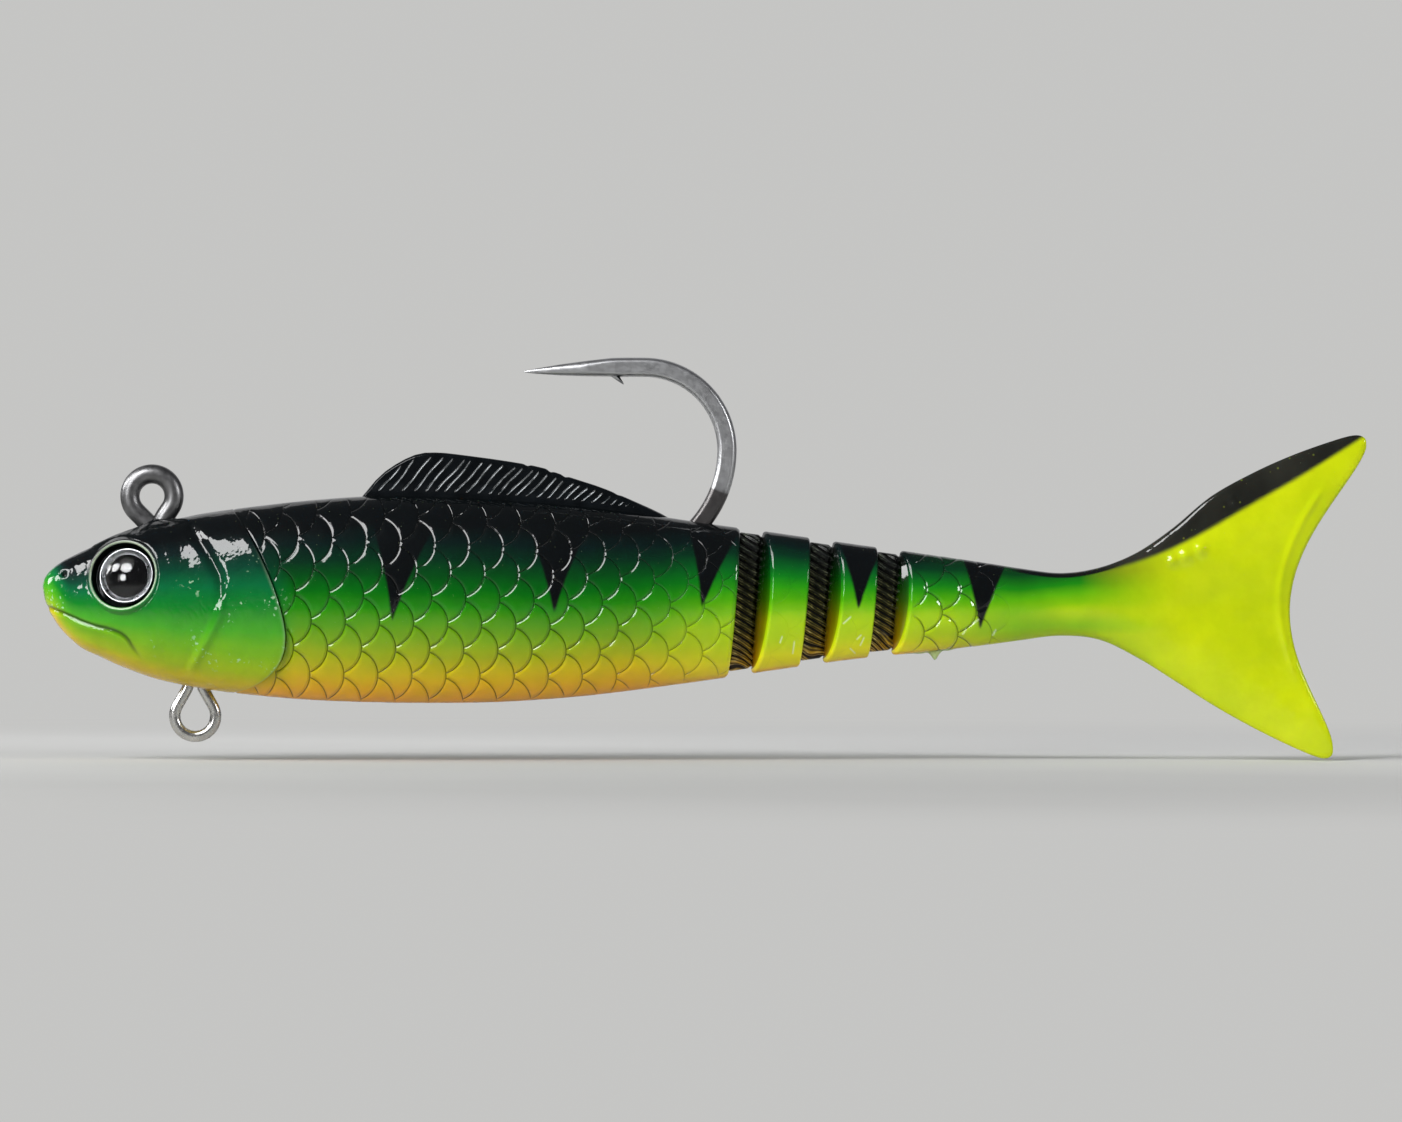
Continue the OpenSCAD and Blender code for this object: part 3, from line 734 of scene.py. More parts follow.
def make_sleeve(name, slot):
    """One stretch of the sleeve: full in its slot, thin in the pockets, with slanting ribs of threads."""
    front, rear = slot
    angles = ring_angles(SLEEVE_SIDES)
    stations = np.concatenate([
        [front - 2.5, front - 1.2], np.linspace(front - 0.5, rear + 1.9, 60), [rear + 2.8],
    ])
    rings = []
    for x in stations:
        t = (x - front) / (rear - front)
        open_share = float(ramp(t, -0.05, 0.12) * ramp(t, 1.0, 0.83))
        inset = mix(POCKET_INSET + 0.05, 0.55, open_share)
        rings.append(sleeve_ring(x, angles, inset, mix(POCKET_SHARE - 0.01, SLEEVE_SHARE, open_share)))
    grid = np.stack(rings)
    x, z = grid[..., 0], grid[..., 2]
    past, drop = x - front, SLOT_Z - z
    level = np.broadcast_to(np.cos(angles), x.shape)
    wave = 0.5 * ramp(level, -0.55, -0.95) * np.sin(1.3 * x + 0.7 * z)
    phase = (drop * cos(RIB_SLOPE) - past * sin(RIB_SLOPE) + wave) / RIB_PITCH
    way = drop * sin(RIB_SLOPE) + past * cos(RIB_SLOPE)
    rib = 0.5 + 0.5 * np.cos(2 * pi * phase)
    thread = 0.5 + 0.5 * np.cos(6 * pi * phase + 0.5 * np.sin(3 * way))
    height = (0.2 * ramp(rib, 0.05, 0.65) + 0.07 * thread * rib - 0.12) * ramp(1 - np.abs(level), 0, 0.06)
    # Where the ribs begin, where most of the painted glints go.
    begin = around(bell(stations - front - 0.5, 0.4), SLEEVE_SIDES)
    level = (level + 1) / 2
    masks = {"rib": rib, "thread": thread, "way": way, "across": phase, "level": level, "begin": begin}
    return make_object(name, lifted(grid, height), masks)


def fin_rays(x, z):
    """1 on the crests of the dorsal fin's rays, which lean back a little more towards the rear."""
    spread = np.linspace(0, 1, RAY_COUNT)
    starts = 23.6 + 31.5 * (1.18 * spread - 0.18 * spread ** 2)
    leans = np.radians(mix(52, 38, spread))
    rays = np.zeros(x.shape)
    for number, (start, lean) in enumerate(zip(starts, leans)):
        start += 0.12 * sin(5.3 * number)
        lean += 0.03 * sin(3.7 * number + 1)
        dx, dz = x - start, z - float(curve(np.array([start]), 1)[0]) - 0.45
        off = dx * sin(lean) - dz * cos(lean)
        way = dx * cos(lean) + dz * sin(lean)
        line = bell(off + 0.06 * np.sin(1.4 * way + number), 0.065) * ramp(way, -0.1, 0.4)
        rays = np.maximum(rays, line)
    return rays


def make_dorsal_fin():
    across, up = 560, 84
    top = np.array(rounded(FIN_TOP, 1))
    xs = np.linspace(22.7, 56.4, across)
    back = curve(xs, 1)
    foot = back - 0.9
    crest = np.interp(xs, top[:, 0], top[:, 1], left=-0.6, right=-2.6)
    for nick_x, deep in FIN_NICKS:
        crest = crest - deep * bell(xs - nick_x, 0.3)
    crest = np.maximum(crest, foot + 0.1)
    x = around(xs, up)
    z = foot[:, None] + (crest - foot)[:, None] * np.linspace(0, 1, up) ** 0.9
    over = crest[:, None] - z
    rise = z - back[:, None]
    rays = fin_rays(x, z) * ramp(over, 0.35, 0.9) * ramp(rise, 0.25, 0.7)
    edge_round = np.sqrt(np.clip(1 - (1 - np.clip(over / 0.4, 0, 1)) ** 2, 0.02, 1))
    ends = np.sqrt(np.clip(ramp(x, 22.65, 23.4) * ramp(x, 56.45, 55.2), 0.02, 1))
    half = mix(0.75, 0.42, ramp(rise, 0.2, 1.6)) * ends * edge_round + 0.15 * rays
    masks = {"rib": np.concatenate([rays, rays[:, ::-1]], 1)}
    return make_object("dorsal_fin_moulding", np.concatenate(both_sides(x, half, z), 1), masks)


# ---- Hook and belly loop ----

WIRE_SIDES = 40
LOOP_SIDES = 28
HOOK_WIRE = 2.1
TIE_R = 2.4
TIE_LEG_X = 1.75
TIE_LEG_ANGLE = -35
TIE_TAG_ANGLE = 225
NECK_R = 2.6
BEND = (53.5, 5.0)
BEND_R = 9.0
BEND_TOP = BEND[1] + BEND_R
HEEL_R = 12.4
HEEL = (BEND[0] + BEND_R - HEEL_R, BEND[1])
SHANK_Z = HEEL[1] - HEEL_R
NEEDLE_X = 50.0
NEEDLE_LENGTH = 9.6
NEEDLE_DROOP = radians(3)
# Radius of the wire at distances from the point.
POINT_TAPER = ((0, 0.25, 1.2, 3.9, 7.0, 9.6, 11), (0.03, 0.1, 0.27, 0.6, 0.86, 1.02, 1.05))
FORGED_HALF = 0.8
BARB = [(47.3, 13.42), (49.9, 12.98), (51.25, 12.1), (50.45, 13.0), (50.6, 13.45), (49.0, 13.6)]

LOOP_CENTRE = (4.7, -23.9)
LOOP_WIRE = 1.25
LOOP_R = 1.6 + LOOP_WIRE / 2
LOOP_NECK_Z = -20.6
LOOP_TOP_Z = -14


def soft_limit(value, limit):
    """The smaller of value and limit, with a small rounding where they meet."""
    k = 0.07
    h = np.clip(0.5 + 0.5 * (limit - value) / k, 0, 1)
    return mix(limit, value, h) - k * h * (1 - h)


def sweep(name, path, radius, flat, sides, masks):
    """A wire along a path in the middle plane; flat limits its half-thickness across that plane."""
    tangent = np.gradient(path, axis=0)
    tangent /= np.linalg.norm(tangent, axis=1, keepdims=True)
    phi = ring_angles(sides)
    radius, flat = (np.broadcast_to(values, (len(path),))[:, None] for values in (radius, flat))
    across = radius * np.sin(phi)
    across = np.sign(across) * soft_limit(np.abs(across), flat)
    offset = radius * np.cos(phi)
    x = path[:, :1] - tangent[:, 1:] * offset
    z = path[:, 1:] + tangent[:, :1] * offset
    obj = make_object(name, np.stack([x, across, z], -1), masks)
    fill_end(obj, 0, sides)
    fill_end(obj, len(path) - 1, sides)
    return obj


def arc(centre, radius, start, end, step):
    """Points round a centre, from one angle to another in degrees, from +X towards +Z."""
    count = max(int(abs(end - start) / step), 2) + 1
    a = np.radians(np.linspace(start, end, count))
    return np.stack([centre[0] + radius * np.cos(a), centre[1] + radius * np.sin(a)], -1)


def line(start, end, step=0.4):
    count = max(int(dist(start, end) / step), 2) + 1
    t = np.linspace(0, 1, count)[:, None]
    return mix(np.array(start, float), np.array(end, float), t)


def wire_path(parts, times):
    """Parts put together as one path, without double points and with its corners smoothed."""
    path = np.concatenate(parts)
    path = path[np.concatenate([[True], np.linalg.norm(np.diff(path, axis=0), axis=1) > 1e-4])]
    for _ in range(times):
        path[1:-1] = 0.25 * path[:-2] + 0.5 * path[1:-1] + 0.25 * path[2:]
    return path


def make_hook():
    """Line tie ring, neck, shank, bend and point in one wire, with forged flats on the bend, and the barb."""
    ring = arc((0, 0), TIE_R, TIE_TAG_ANGLE, TIE_LEG_ANGLE, 3)
    tag, leg = radians(TIE_TAG_ANGLE), radians(TIE_LEG_ANGLE)
    tag_foot = ring[0] - 2.6 * np.array([sin(tag), -cos(tag)])
    leg_foot = ring[-1] + 1.9 * np.array([sin(leg), -cos(leg)])
    neck = (TIE_LEG_X + NECK_R, SHANK_Z + NECK_R)
    needle = (NEEDLE_X, BEND_TOP)
    reach, drop = NEEDLE_LENGTH * cos(NEEDLE_DROOP), NEEDLE_LENGTH * sin(NEEDLE_DROOP)
    tip = (NEEDLE_X - reach, BEND_TOP - drop)
    path = wire_path([
        line(tag_foot - [0, 2.2], tag_foot), line(tag_foot, ring[0]), ring, line(ring[-1], leg_foot),
        line(leg_foot, (TIE_LEG_X, neck[1])), arc(neck, NECK_R, 180, 270, 6),
        line((neck[0], SHANK_Z), (HEEL[0], SHANK_Z), 1.0), arc(HEEL, HEEL_R, -90, 0, 1.2),
        arc(BEND, BEND_R, 0, 90, 1.5), line((BEND[0], BEND_TOP), needle, 0.3), line(needle, tip, 0.12),
    ], 3)
    run = np.concatenate([[0], np.cumsum(np.linalg.norm(np.diff(path, axis=0), axis=1))])
    left = run[-1] - run
    radius = np.interp(left, *POINT_TAPER)
    bend_length = radians(90) * BEND_R + radians(21) * HEEL_R
    past = run - (run[-1] - NEEDLE_LENGTH - (BEND[0] - NEEDLE_X) - bend_length)
    forged = ramp(past, -0.1, 0.3)
    pressed = ramp(past, -9, -7.5)
    flat = mix(FORGED_HALF, radius, ramp(left, 12, 3)) + 3 * (1 - pressed)
    masks = {
        "forged": around(forged, WIRE_SIDES),
        "stem_dark_reflection": around(ramp(past, -8, -7) * (1 - 0.85 * forged), WIRE_SIDES),
    }
    flat = np.minimum(mix(HOOK_WIRE, FORGED_HALF, pressed), flat)
    hook = sweep("jig_hook_wire", path, radius, flat, WIRE_SIDES, masks)
    return join([hook, make_barb()])


def make_barb():
    """The barb: a blade cut up from the needle's underside."""
    outline = np.array(BARB)
    middle = outline.mean(0)
    rings = []
    for y, shrink in ((-0.34, 0.82), (-0.24, 1.0), (0.24, 1.0), (0.34, 0.82)):
        flat = middle + (outline - middle) * [1, shrink]
        rings.append(np.stack([flat[:, 0], np.full(len(flat), y), flat[:, 1]], -1))
    grid = np.stack(rings)
    masks = {"forged": np.ones(grid.shape[:2]), "stem_dark_reflection": np.zeros(grid.shape[:2])}
    obj = make_object("barb", grid, masks)
    for row in (0, len(grid) - 1):
        fill_end(obj, row, len(outline))
    return obj


def make_belly_loop():
    legs = LOOP_WIRE / 2 + 0.05
    front, rear = LOOP_CENTRE[0] - legs, LOOP_CENTRE[0] + legs
    ring = arc(LOOP_CENTRE, LOOP_R, 150, 390, 3)
    path = wire_path([
        line((front, LOOP_TOP_Z), (front, LOOP_NECK_Z)), line((front, LOOP_NECK_Z), ring[0], 0.2), ring,
        line(ring[-1], (rear, LOOP_NECK_Z), 0.2), line((rear, LOOP_NECK_Z), (rear, LOOP_TOP_Z)),
    ], 4)
    return sweep("belly_loop_wire", path, LOOP_WIRE / 2, LOOP_WIRE / 2, LOOP_SIDES, {})


# ---- Eyes and the line tie's foot ----

EYE_SIDES = 128
AXIS_R = 0.001
FOIL_T = 0.4
PUPIL_R = 2.35
PUPIL_TOP = 1.25
LENS_R = 2.86
LENS_TOP = 1.5
# Profiles round an eye's axis: radius and height over the seat.
FOIL_PROFILE = [
    (AXIS_R, FOIL_T), (2.3, FOIL_T + 0.05), (2.6, FOIL_T + 0.16), (2.82, FOIL_T + 0.34),
    (2.94, FOIL_T + 0.44), (EYE_R, FOIL_T + 0.36), (EYE_R, 0.0), (AXIS_R, 0.0),
]
SOCKET_FLOOR = [(2.2, -0.25), (3.25, -0.2), (3.42, -0.05), (3.5, 0.25), (3.55, 0.7)]
SOCKET_RIM = [(3.8 + 0.25 * cos(t), 0.75 + 0.25 * sin(t)) for t in np.linspace(pi, 0.2, 14)]
SOCKET_SKIRT = [(4.22, 0.52), (4.5, 0.1), (4.7, -0.6)]


def lathe(name, profile, side, centre=None, masks=None):
    """A profile turned round an eye's axis, or an axis through another centre."""
    seat, right, up, out = eye_axes(side)
    seat = seat if centre is None else centre
    phi = ring_angles(EYE_SIDES)[:, None]
    grid = np.stack([seat + r * np.cos(phi) * right + r * np.sin(phi) * up + h * out for r, h in profile])
    return make_object(name, grid, masks(grid) if masks else {})


def dome(r, edge, top, base, steps=18):
    """Profile of a cap from its middle out to its edge, then down to its base."""
    rise = top - edge
    ball = (r ** 2 + rise ** 2) / (2 * rise)
    radii = r * np.sin(np.linspace(0, pi / 2, steps))
    heights = top - ball + np.sqrt(ball ** 2 - radii ** 2)
    return [(max(a, AXIS_R), b) for a, b in zip(radii, heights)] + [(r, base)]


PUPIL_PROFILE = dome(PUPIL_R, FOIL_T + 0.2, PUPIL_TOP, FOIL_T) + [(AXIS_R, FOIL_T)]
LENS_PROFILE = dome(LENS_R, FOIL_T + 0.42, LENS_TOP, FOIL_T + 0.4)


def make_socket(name, side):
    """The hole that an eye sits in, painted dark inside as its shade, its raised rim with a painted highlight
    on its crest, and the skirt that meets the head.
    """
    rest = [0] * len(SOCKET_SKIRT)
    # The socket's inside is painted dark as its shade.
    ink = [1] * 5 + [0.9, 0.6, 0.3] + [0] * 11 + rest
    # The rim's crest is painted pale as its highlight.
    crest = [0] * 5 + list(1.8 * bell(np.linspace(-1.2, 1.8, len(SOCKET_RIM)), 0.4)) + rest

    def masks(grid):
        return paint_masks(grid, ink=around(ink, EYE_SIDES), lip=around(crest, EYE_SIDES), head=1)

    return lathe(name, SOCKET_FLOOR + SOCKET_RIM + SOCKET_SKIRT, side, socket_centre(side), masks)


def make_foot():
    """The mound of black plastic round the feet of the line tie."""
    rows, sides = 22, 64
    phi, theta = np.meshgrid(ring_angles(sides), np.linspace(0.02, 1.5, rows))
    reach = (1 + 0.05 * np.sin(3 * phi + 1) + 0.03 * np.sin(7 * phi)) * np.sin(theta)
    x = 2.5 * reach * np.cos(phi)
    z = -3.6 + 1.25 * np.cos(theta) ** 0.8 + 0.4 * np.sin(theta) * np.cos(phi)
    grid = np.stack([0.65 + x, 1.7 * reach * np.sin(phi), z], -1)[::-1]
    obj = make_object("tie_foot", grid, paint_masks(grid, tone=1))
    fill_end(obj, rows - 1, sides)
    return obj


# ---- Nodes ----

def srgb(*levels):
    """A colour written as on a screen, from 0 to 255, in linear light."""
    out = []
    for level in levels:
        c = level / 255
        out.append(c / 12.92 if c <= 0.04045 else ((c + 0.055) / 1.055) ** 2.4)
    return (*out, 1.0)


def colour_of(value):
    """A number as a grey, three screen levels as a colour, and a Value or a linear colour as it is."""
    if isinstance(value, (int, float)):
        return (value, value, value, 1)
    return srgb(*value) if isinstance(value, tuple) and len(value) == 3 else value


class Value:
    """An output of a node. Sums with it add Math nodes."""

    def __init__(self, nodes, socket):
        self.nodes = nodes
        self.socket = socket

    def __add__(self, other):
        return self.nodes.math("ADD", self, other)

    def __sub__(self, other):
        return self.nodes.math("SUBTRACT", self, other)

    def __rsub__(self, other):
        return self.nodes.math("SUBTRACT", other, self)

    def __mul__(self, other):
        return self.nodes.math("MULTIPLY", self, other)

    def __truediv__(self, other):
        return self.nodes.math("DIVIDE", self, other)


class Nodes:
    """A new material, or a new world, and short calls for building its nodes."""

    def __init__(self, name, owners=None):
        self.owner = (bpy.data.materials if owners is None else owners).new(name)
        self.owner.use_nodes = True
        self.tree = self.owner.node_tree
        self.shader = self.tree.nodes.get("Principled BSDF")

    def put(self, socket, value):
        """Links a Value to a socket, or sets the socket to a number or colour."""
        if isinstance(value, Value):
            self.tree.links.new(value.socket, socket)
        else:
            socket.default_value = value

    def new(self, kind, **inputs):
        """A new node, with values for the inputs of these names."""
        node = self.tree.nodes.new("ShaderNode" + kind)
        for key, value in inputs.items():
            self.put(node.inputs[key], value)
        return node

    def out(self, kind, output, **inputs):
        """One output of a new node."""
        return Value(self, self.new(kind, **inputs).outputs[output])

    def set(self, **values):
        """Values for the main shader's inputs, with _ for a space in their names."""
        for key, value in values.items():
            self.put(self.shader.inputs[key.replace("_", " ")], value)

    def mask(self, name):
        node = self.new("Attribute")
        node.attribute_name = name
        return Value(self, node.outputs["Fac"])

    def place(self, stretch=(1, 1, 1)):
        return self.out("Mapping", "Vector", Vector=self.out("TexCoord", "Object"), Scale=stretch)

    def noise(self, scale, detail, place=None):
        return self.out("TexNoise", "Fac", Vector=place or self.place(), Scale=scale, Detail=detail)

    def specks(self, scale):
        return self.out("TexVoronoi", "Distance", Vector=self.place(), Scale=scale)

    def math(self, operation, *values):
        node = self.new("Math")
        node.operation = operation
        for socket, value in zip(node.inputs, values):
            self.put(socket, value)
        return Value(self, node.outputs[0])

    def most(self, *values):
        return reduce(lambda a, b: self.math("MAXIMUM", a, b), values)

    def least(self, *values):
        return reduce(lambda a, b: self.math("MINIMUM", a, b), values)

    def ramp(self, value, *stops, interpolation="LINEAR"):
        """A value sent through stops, each a place from 0 to 1 with a number or a colour."""
        node = self.new("ValToRGB", Fac=value)
        node.color_ramp.interpolation = interpolation
        elements = node.color_ramp.elements
        while len(elements) < len(stops):
            elements.new(0.5)
        for element, (position, colour) in zip(elements, stops):
            element.position = position
            element.color = colour_of(colour)
        return Value(self, node.outputs["Color"])

    def patches(self, scale, detail, low, high, edges=(0.3, 0.7)):
        """Noise that goes from one number or colour to another between two edges."""
        return self.ramp(self.noise(scale, detail), (edges[0], low), (edges[1], high))

    def mix(self, share, a, b, blend="MIX"):
        node = self.new("Mix")
        node.data_type = "RGBA"
        node.blend_type = blend
        for index, value in ((0, share), (6, colour_of(a)), (7, colour_of(b))):
            self.put(node.inputs[index], value)
        return Value(self, node.outputs[2])

    def bump(self, height, strength, distance):
        normal = self.out("Bump", "Normal", Height=height, Strength=strength, Distance=distance)
        self.set(Normal=normal, Coat_Normal=normal)

    def show(self, share, first, second):
        """Sends a mix of two shader nodes to the output node."""
        node = self.new("MixShader", Fac=share)
        self.tree.links.new(first.outputs[0], node.inputs[1])
        self.tree.links.new(second.outputs[0], node.inputs[2])
        output = next(item for item in self.tree.nodes if item.type.startswith("OUTPUT"))
        self.tree.links.new(node.outputs[0], output.inputs["Surface"])


# ---- Materials ----

BLACK = (6, 9, 11)
BESIDE = 1000.0

# Colours of the paint from the belly (0) to the back (1).
TRUNK_TONES = (
    (0.00, (248, 168, 44)), (0.07, (232, 178, 22)), (0.14, (204, 180, 8)), (0.22, (156, 166, 6)),
    (0.30, (116, 156, 8)), (0.38, (78, 142, 6)), (0.46, (30, 122, 6)), (0.54, (2, 94, 12)),
    (0.62, (1, 66, 18)), (0.70, (2, 40, 22)), (0.78, (4, 21, 20)), (0.86, BLACK),
)
REAR_TONES = (
    (0.00, (250, 190, 40)), (0.05, (244, 222, 36)), (0.14, (230, 228, 26)), (0.22, (174, 206, 12)),
    (0.30, (116, 182, 8)), (0.38, (72, 160, 8)), (0.46, (38, 140, 12)), (0.54, (10, 112, 22)),
    (0.62, (3, 84, 28)), (0.70, (2, 46, 26)), (0.78, (4, 21, 20)), (0.86, BLACK),
)
STALK_TONES = (
    (0.05, (176, 202, 10)), (0.2, (126, 186, 10)), (0.36, (84, 166, 10)), (0.5, (24, 124, 14)),
    (0.7, (4, 60, 22)),
)
HEAD_TONES = (
    (0.00, (218, 176, 34)), (0.07, (198, 182, 16)), (0.13, (154, 178, 8)), (0.22, (112, 166, 12)),
    (0.34, (62, 150, 24)), (0.46, (10, 114, 32)), (0.58, (3, 92, 50)), (0.68, (4, 54, 38)),
    (0.78, (10, 26, 26)), (0.86, BLACK),
)


def scale_lines(n):
    """Millimetres inside a scale's own rear edge, and behind the edge ahead, by the sums of scale_field."""
    u, v = n.mask("u"), n.mask("v")
    middle = n.math("ROUND", v / SCALE_ROW)
    rows = []
    for shift in (-1, 0, 1):
        row = middle + shift
        dv = v - row * SCALE_ROW
        square = SCALE_R ** 2 - dv * dv
        reach = n.math("SQRT", n.most(square, 0.0))
        offset = n.math("PINGPONG", row, 1.0) * (SCALE_PITCH / 2)
        centre = n.math("CEIL", (u - reach - offset) / SCALE_PITCH) * SCALE_PITCH + offset
        clear = n.most(n.math("GREATER_THAN", centre, u + reach), n.math("LESS_THAN", square, 0.0))
        rows.append((centre, centre + clear * BESIDE, dv))
    first = n.least(*(held for _, held, _ in rows))
    own, ahead = BESIDE, BESIDE
    for centre, held, dv in rows:
        before = centre - SCALE_PITCH
        edges = []
        for at in (centre, before):
            du = u - at
            edges.append(n.math("ABSOLUTE", n.math("SQRT", du * du + dv * dv) - SCALE_R))
        other = 1.0 - n.math("COMPARE", held, first, 0.01)
        own = n.least(own, edges[0] + other * BESIDE)
        ahead = n.least(ahead, edges[1] + n.math("GREATER_THAN", before, first) * BESIDE)
    return own, ahead


def tail_tones(n, tone, along):
    """Green of the stalk, which turns into the fin's lime yellow."""
    fresh = n.ramp(n.noise(70, 3), (0.3, (178, 197, 6)), (0.55, (197, 211, 8)), (0.75, (210, 221, 14)))
    lime = n.mix(n.ramp(along, (0.80, 0.0), (0.92, 1.0)), (164, 190, 8), fresh)
    return n.mix(n.ramp(along, (0.84, 0.0), (0.93, 1.0)), n.ramp(tone, *STALK_TONES), lime)


def fish_paint(name, tail=False):
    """Black back over green, yellow and orange, with black bars, in clear-coated soft plastic."""
    n = Nodes(name)
    tone = n.mask("tone") + (n.noise(240, 5) - 0.5) * 0.07
    along = n.mask("along")
    rearward = n.ramp(along, (0.43, 0.0), (0.54, 1.0))
    body = n.mix(rearward, n.ramp(tone, *TRUNK_TONES), n.ramp(tone, *REAR_TONES))
    if tail:
        body = n.mix(n.ramp(along, (0.68, 0.0), (0.78, 1.0)), body, tail_tones(n, tone, along))
    else:
        body = n.mix(n.mask("head"), body, n.ramp(tone, *HEAD_TONES))
    bars = n.mask("bars") + (n.noise(700, 4) - 0.5) * 0.25
    colour = n.mix(n.ramp(bars, (0.15, 0.0), (0.85, 1.0), interpolation="EASE"), body, BLACK)

    own, ahead = scale_lines(n)
    scale = n.mask("scale")
    wall = n.most(
        n.ramp(own, (0.0, 1.0), (0.06, 0.35), (0.28, 0.0)),
        n.ramp(ahead, (0.0, 1.0), (0.05, 0.42), (0.19, 0.1), (0.42, 0.0)),
    )
    wall = wall * n.ramp(tone, (0.3, 1.0), (0.6, 0.62), (0.8, 0.36)) * scale
    # Painted shade in the grooves along the scales' rear edges.
    line = n.ramp(n.least(own, ahead), (0.02, 0.6), (0.09, 0.0)) * scale
    mottle = n.patches(420, 4, 0.0, 0.35, (0.35, 0.65))
    colour = n.mix(mottle, colour, (226, 232, 200), "MULTIPLY")
    colour = n.mix(line, colour, (96, 120, 60), "MULTIPLY")

    if tail:
        shade = n.ramp(n.noise(150, 5, n.place((1, 1, 0.5))), (0.3, (20, 21, 18)), (0.7, (42, 42, 36)))
        bubbles = n.ramp(n.specks(900), (0.06, 1.0), (0.13, 0.0))
        colour = n.mix(n.mask("margin"), colour, n.mix(bubbles * 0.5, shade, (120, 132, 40)))
    dust = n.ramp(n.specks(1300), (0.03, 1.0), (0.07, 0.0))
    colour = n.mix(dust * 0.25, colour, (150, 165, 120))
    if not tail:
        # Clusters of tiny pale flecks painted on the head as its broken glints.
        head_glints = n.patches(2100, 3, 0.0, 1.0, (0.6, 0.66)) * n.patches(300, 3, 0.0, 1.0, (0.56, 0.63))
        head_glints = head_glints * n.mask("head") * n.ramp(tone, (0.1, 0.0), (0.2, 0.6), (0.7, 0.6), (0.78, 0.0))
        colour = n.mix(head_glints, colour, (170, 205, 170))
    # Painted shade on the faces that lead down into the sleeve's pockets.
    colour = n.mix(n.mask("chamfer_shade"), colour, (140, 98, 30), "MULTIPLY")
    # Pale: the flash film's own colour, and a painted highlight along the gill cover's edge and the eye
    # sockets' rims.
    colour = n.mix(n.mask("lip") * 0.4, colour, (172, 188, 160))
    # Scratches painted pale, partly their own whitish colour and partly a painted glint.
    colour = n.mix(n.mask("scratch") * 0.7, colour, (236, 244, 204))
    # Painted shade in the head's grooves, under the gill cover's step and inside the eye sockets.
    colour = n.mix(n.mask("ink"), colour, (4, 9, 8))
    n.set(
        Base_Color=colour, Roughness=n.patches(900, 3, 0.3, 0.42), Specular_IOR_Level=0.02, IOR=1.42,
        Coat_Weight=1.0, Coat_Roughness=0.05, Coat_IOR=1.43,
        Subsurface_Weight=0.12 if tail else 0.04, Subsurface_Scale=0.0006,
    )
    uneven = n.noise(1300, 4) * 0.05 + n.noise(330, 2) * 0.33
    if not tail:
        uneven = uneven + n.noise(760, 2) * 0.34 * n.mask("head")
    n.bump(uneven - wall, 1.0, 0.00028)
    return n.owner


def fin_plastic():
    n = Nodes("fin_plastic")
    shade = n.patches(500, 4, (4, 6, 8), (12, 16, 19), (0.3, 0.75))
    # The rays' crests are painted pale as their highlight.
    ray_highlight = n.patches(900, 2, (70, 76, 78), (206, 212, 216), (0.38, 0.6))
    colour = n.mix(n.ramp(n.mask("rib"), (0.35, 0.0), (0.9, 0.85)), shade, ray_highlight)
    n.set(
        Base_Color=colour, Roughness=n.patches(1200, 3, 0.26, 0.42), Specular_IOR_Level=0.04,
        Coat_Weight=0.6, Coat_Roughness=0.08, Coat_IOR=1.32,
    )
    n.bump(n.noise(1500, 3), 1.0, 0.00003)
    return n.owner


def sleeve_mesh():
    """Black woven threads, soaked in clear plastisol, bronze towards the belly, with painted glints along the
    ribs and painted shade between the threads.
    """
    n = Nodes("sleeve_mesh")
    level = n.mask("level") + (n.noise(500, 3) - 0.5) * 0.25
    thread = n.ramp(
        level, (0.03, (196, 150, 34)), (0.14, (134, 108, 24)), (0.32, (70, 66, 20)), (0.6, (34, 38, 18)),
        (0.85, (16, 20, 18)),
    )
    # Pale painted glints along the ribs, most at their front ends.
    painted_glint = n.ramp(level, (0.0, (250, 226, 150)), (0.3, (206, 190, 96)), (0.85, (120, 128, 110)))
    rib = n.ramp(n.mask("rib"), (0.12, 0.0), (0.45, 1.0))
    fine = rib * n.ramp(n.mask("thread"), (0.2, 0.15), (0.8, 1.0))
    # The gaps between the threads are painted dark as their shade.
    colour = n.mix(fine, n.mix(1.0, thread, (44, 40, 30), "MULTIPLY"), thread)
    begin = n.mask("begin")
    along = n.out("CombineXYZ", "Vector", X=n.mask("way") * 1.6, Y=n.mask("across") * 4.3)
    broken = n.ramp(n.noise(1.0, 2, along), (0.5, 0.0), (0.66, 0.6))
    glint_share = fine * ((begin * 0.2 + broken) * n.ramp(begin, (0.0, 0.3), (0.8, 1.3)))
    n.set(
        Base_Color=n.mix(glint_share, colour, painted_glint), Roughness=n.patches(1600, 3, 0.3, 0.5),
        Specular_IOR_Level=0.12, Coat_Weight=0.3, Coat_Roughness=0.12, Coat_IOR=1.3,
    )
    n.bump(n.noise(3200, 3), 0.3, 0.00005)
    return n.owner


def hook_steel():
    """Plain steel on the ring and wire, with a painted dark reflection where the wire leaves the back, and
    bright forged flats.
    """
    n = Nodes("hook_steel")
    face = n.patches(900, 5, (184, 185, 187), (192, 193, 195))
    # The wire is painted darker near the back as the dark reflection that it shows there.
    wire = n.mix(n.mask("stem_dark_reflection"), n.patches(900, 5, (104, 104, 105), (128, 128, 129)), (94, 92, 92))
    colour = n.mix(n.mask("forged"), wire, face)
    n.set(Base_Color=colour, Metallic=1.0, Roughness=n.patches(1800, 4, 0.34, 0.44))
    n.bump(n.noise(2200, 4), 0.06, 0.00004)
    return n.owner


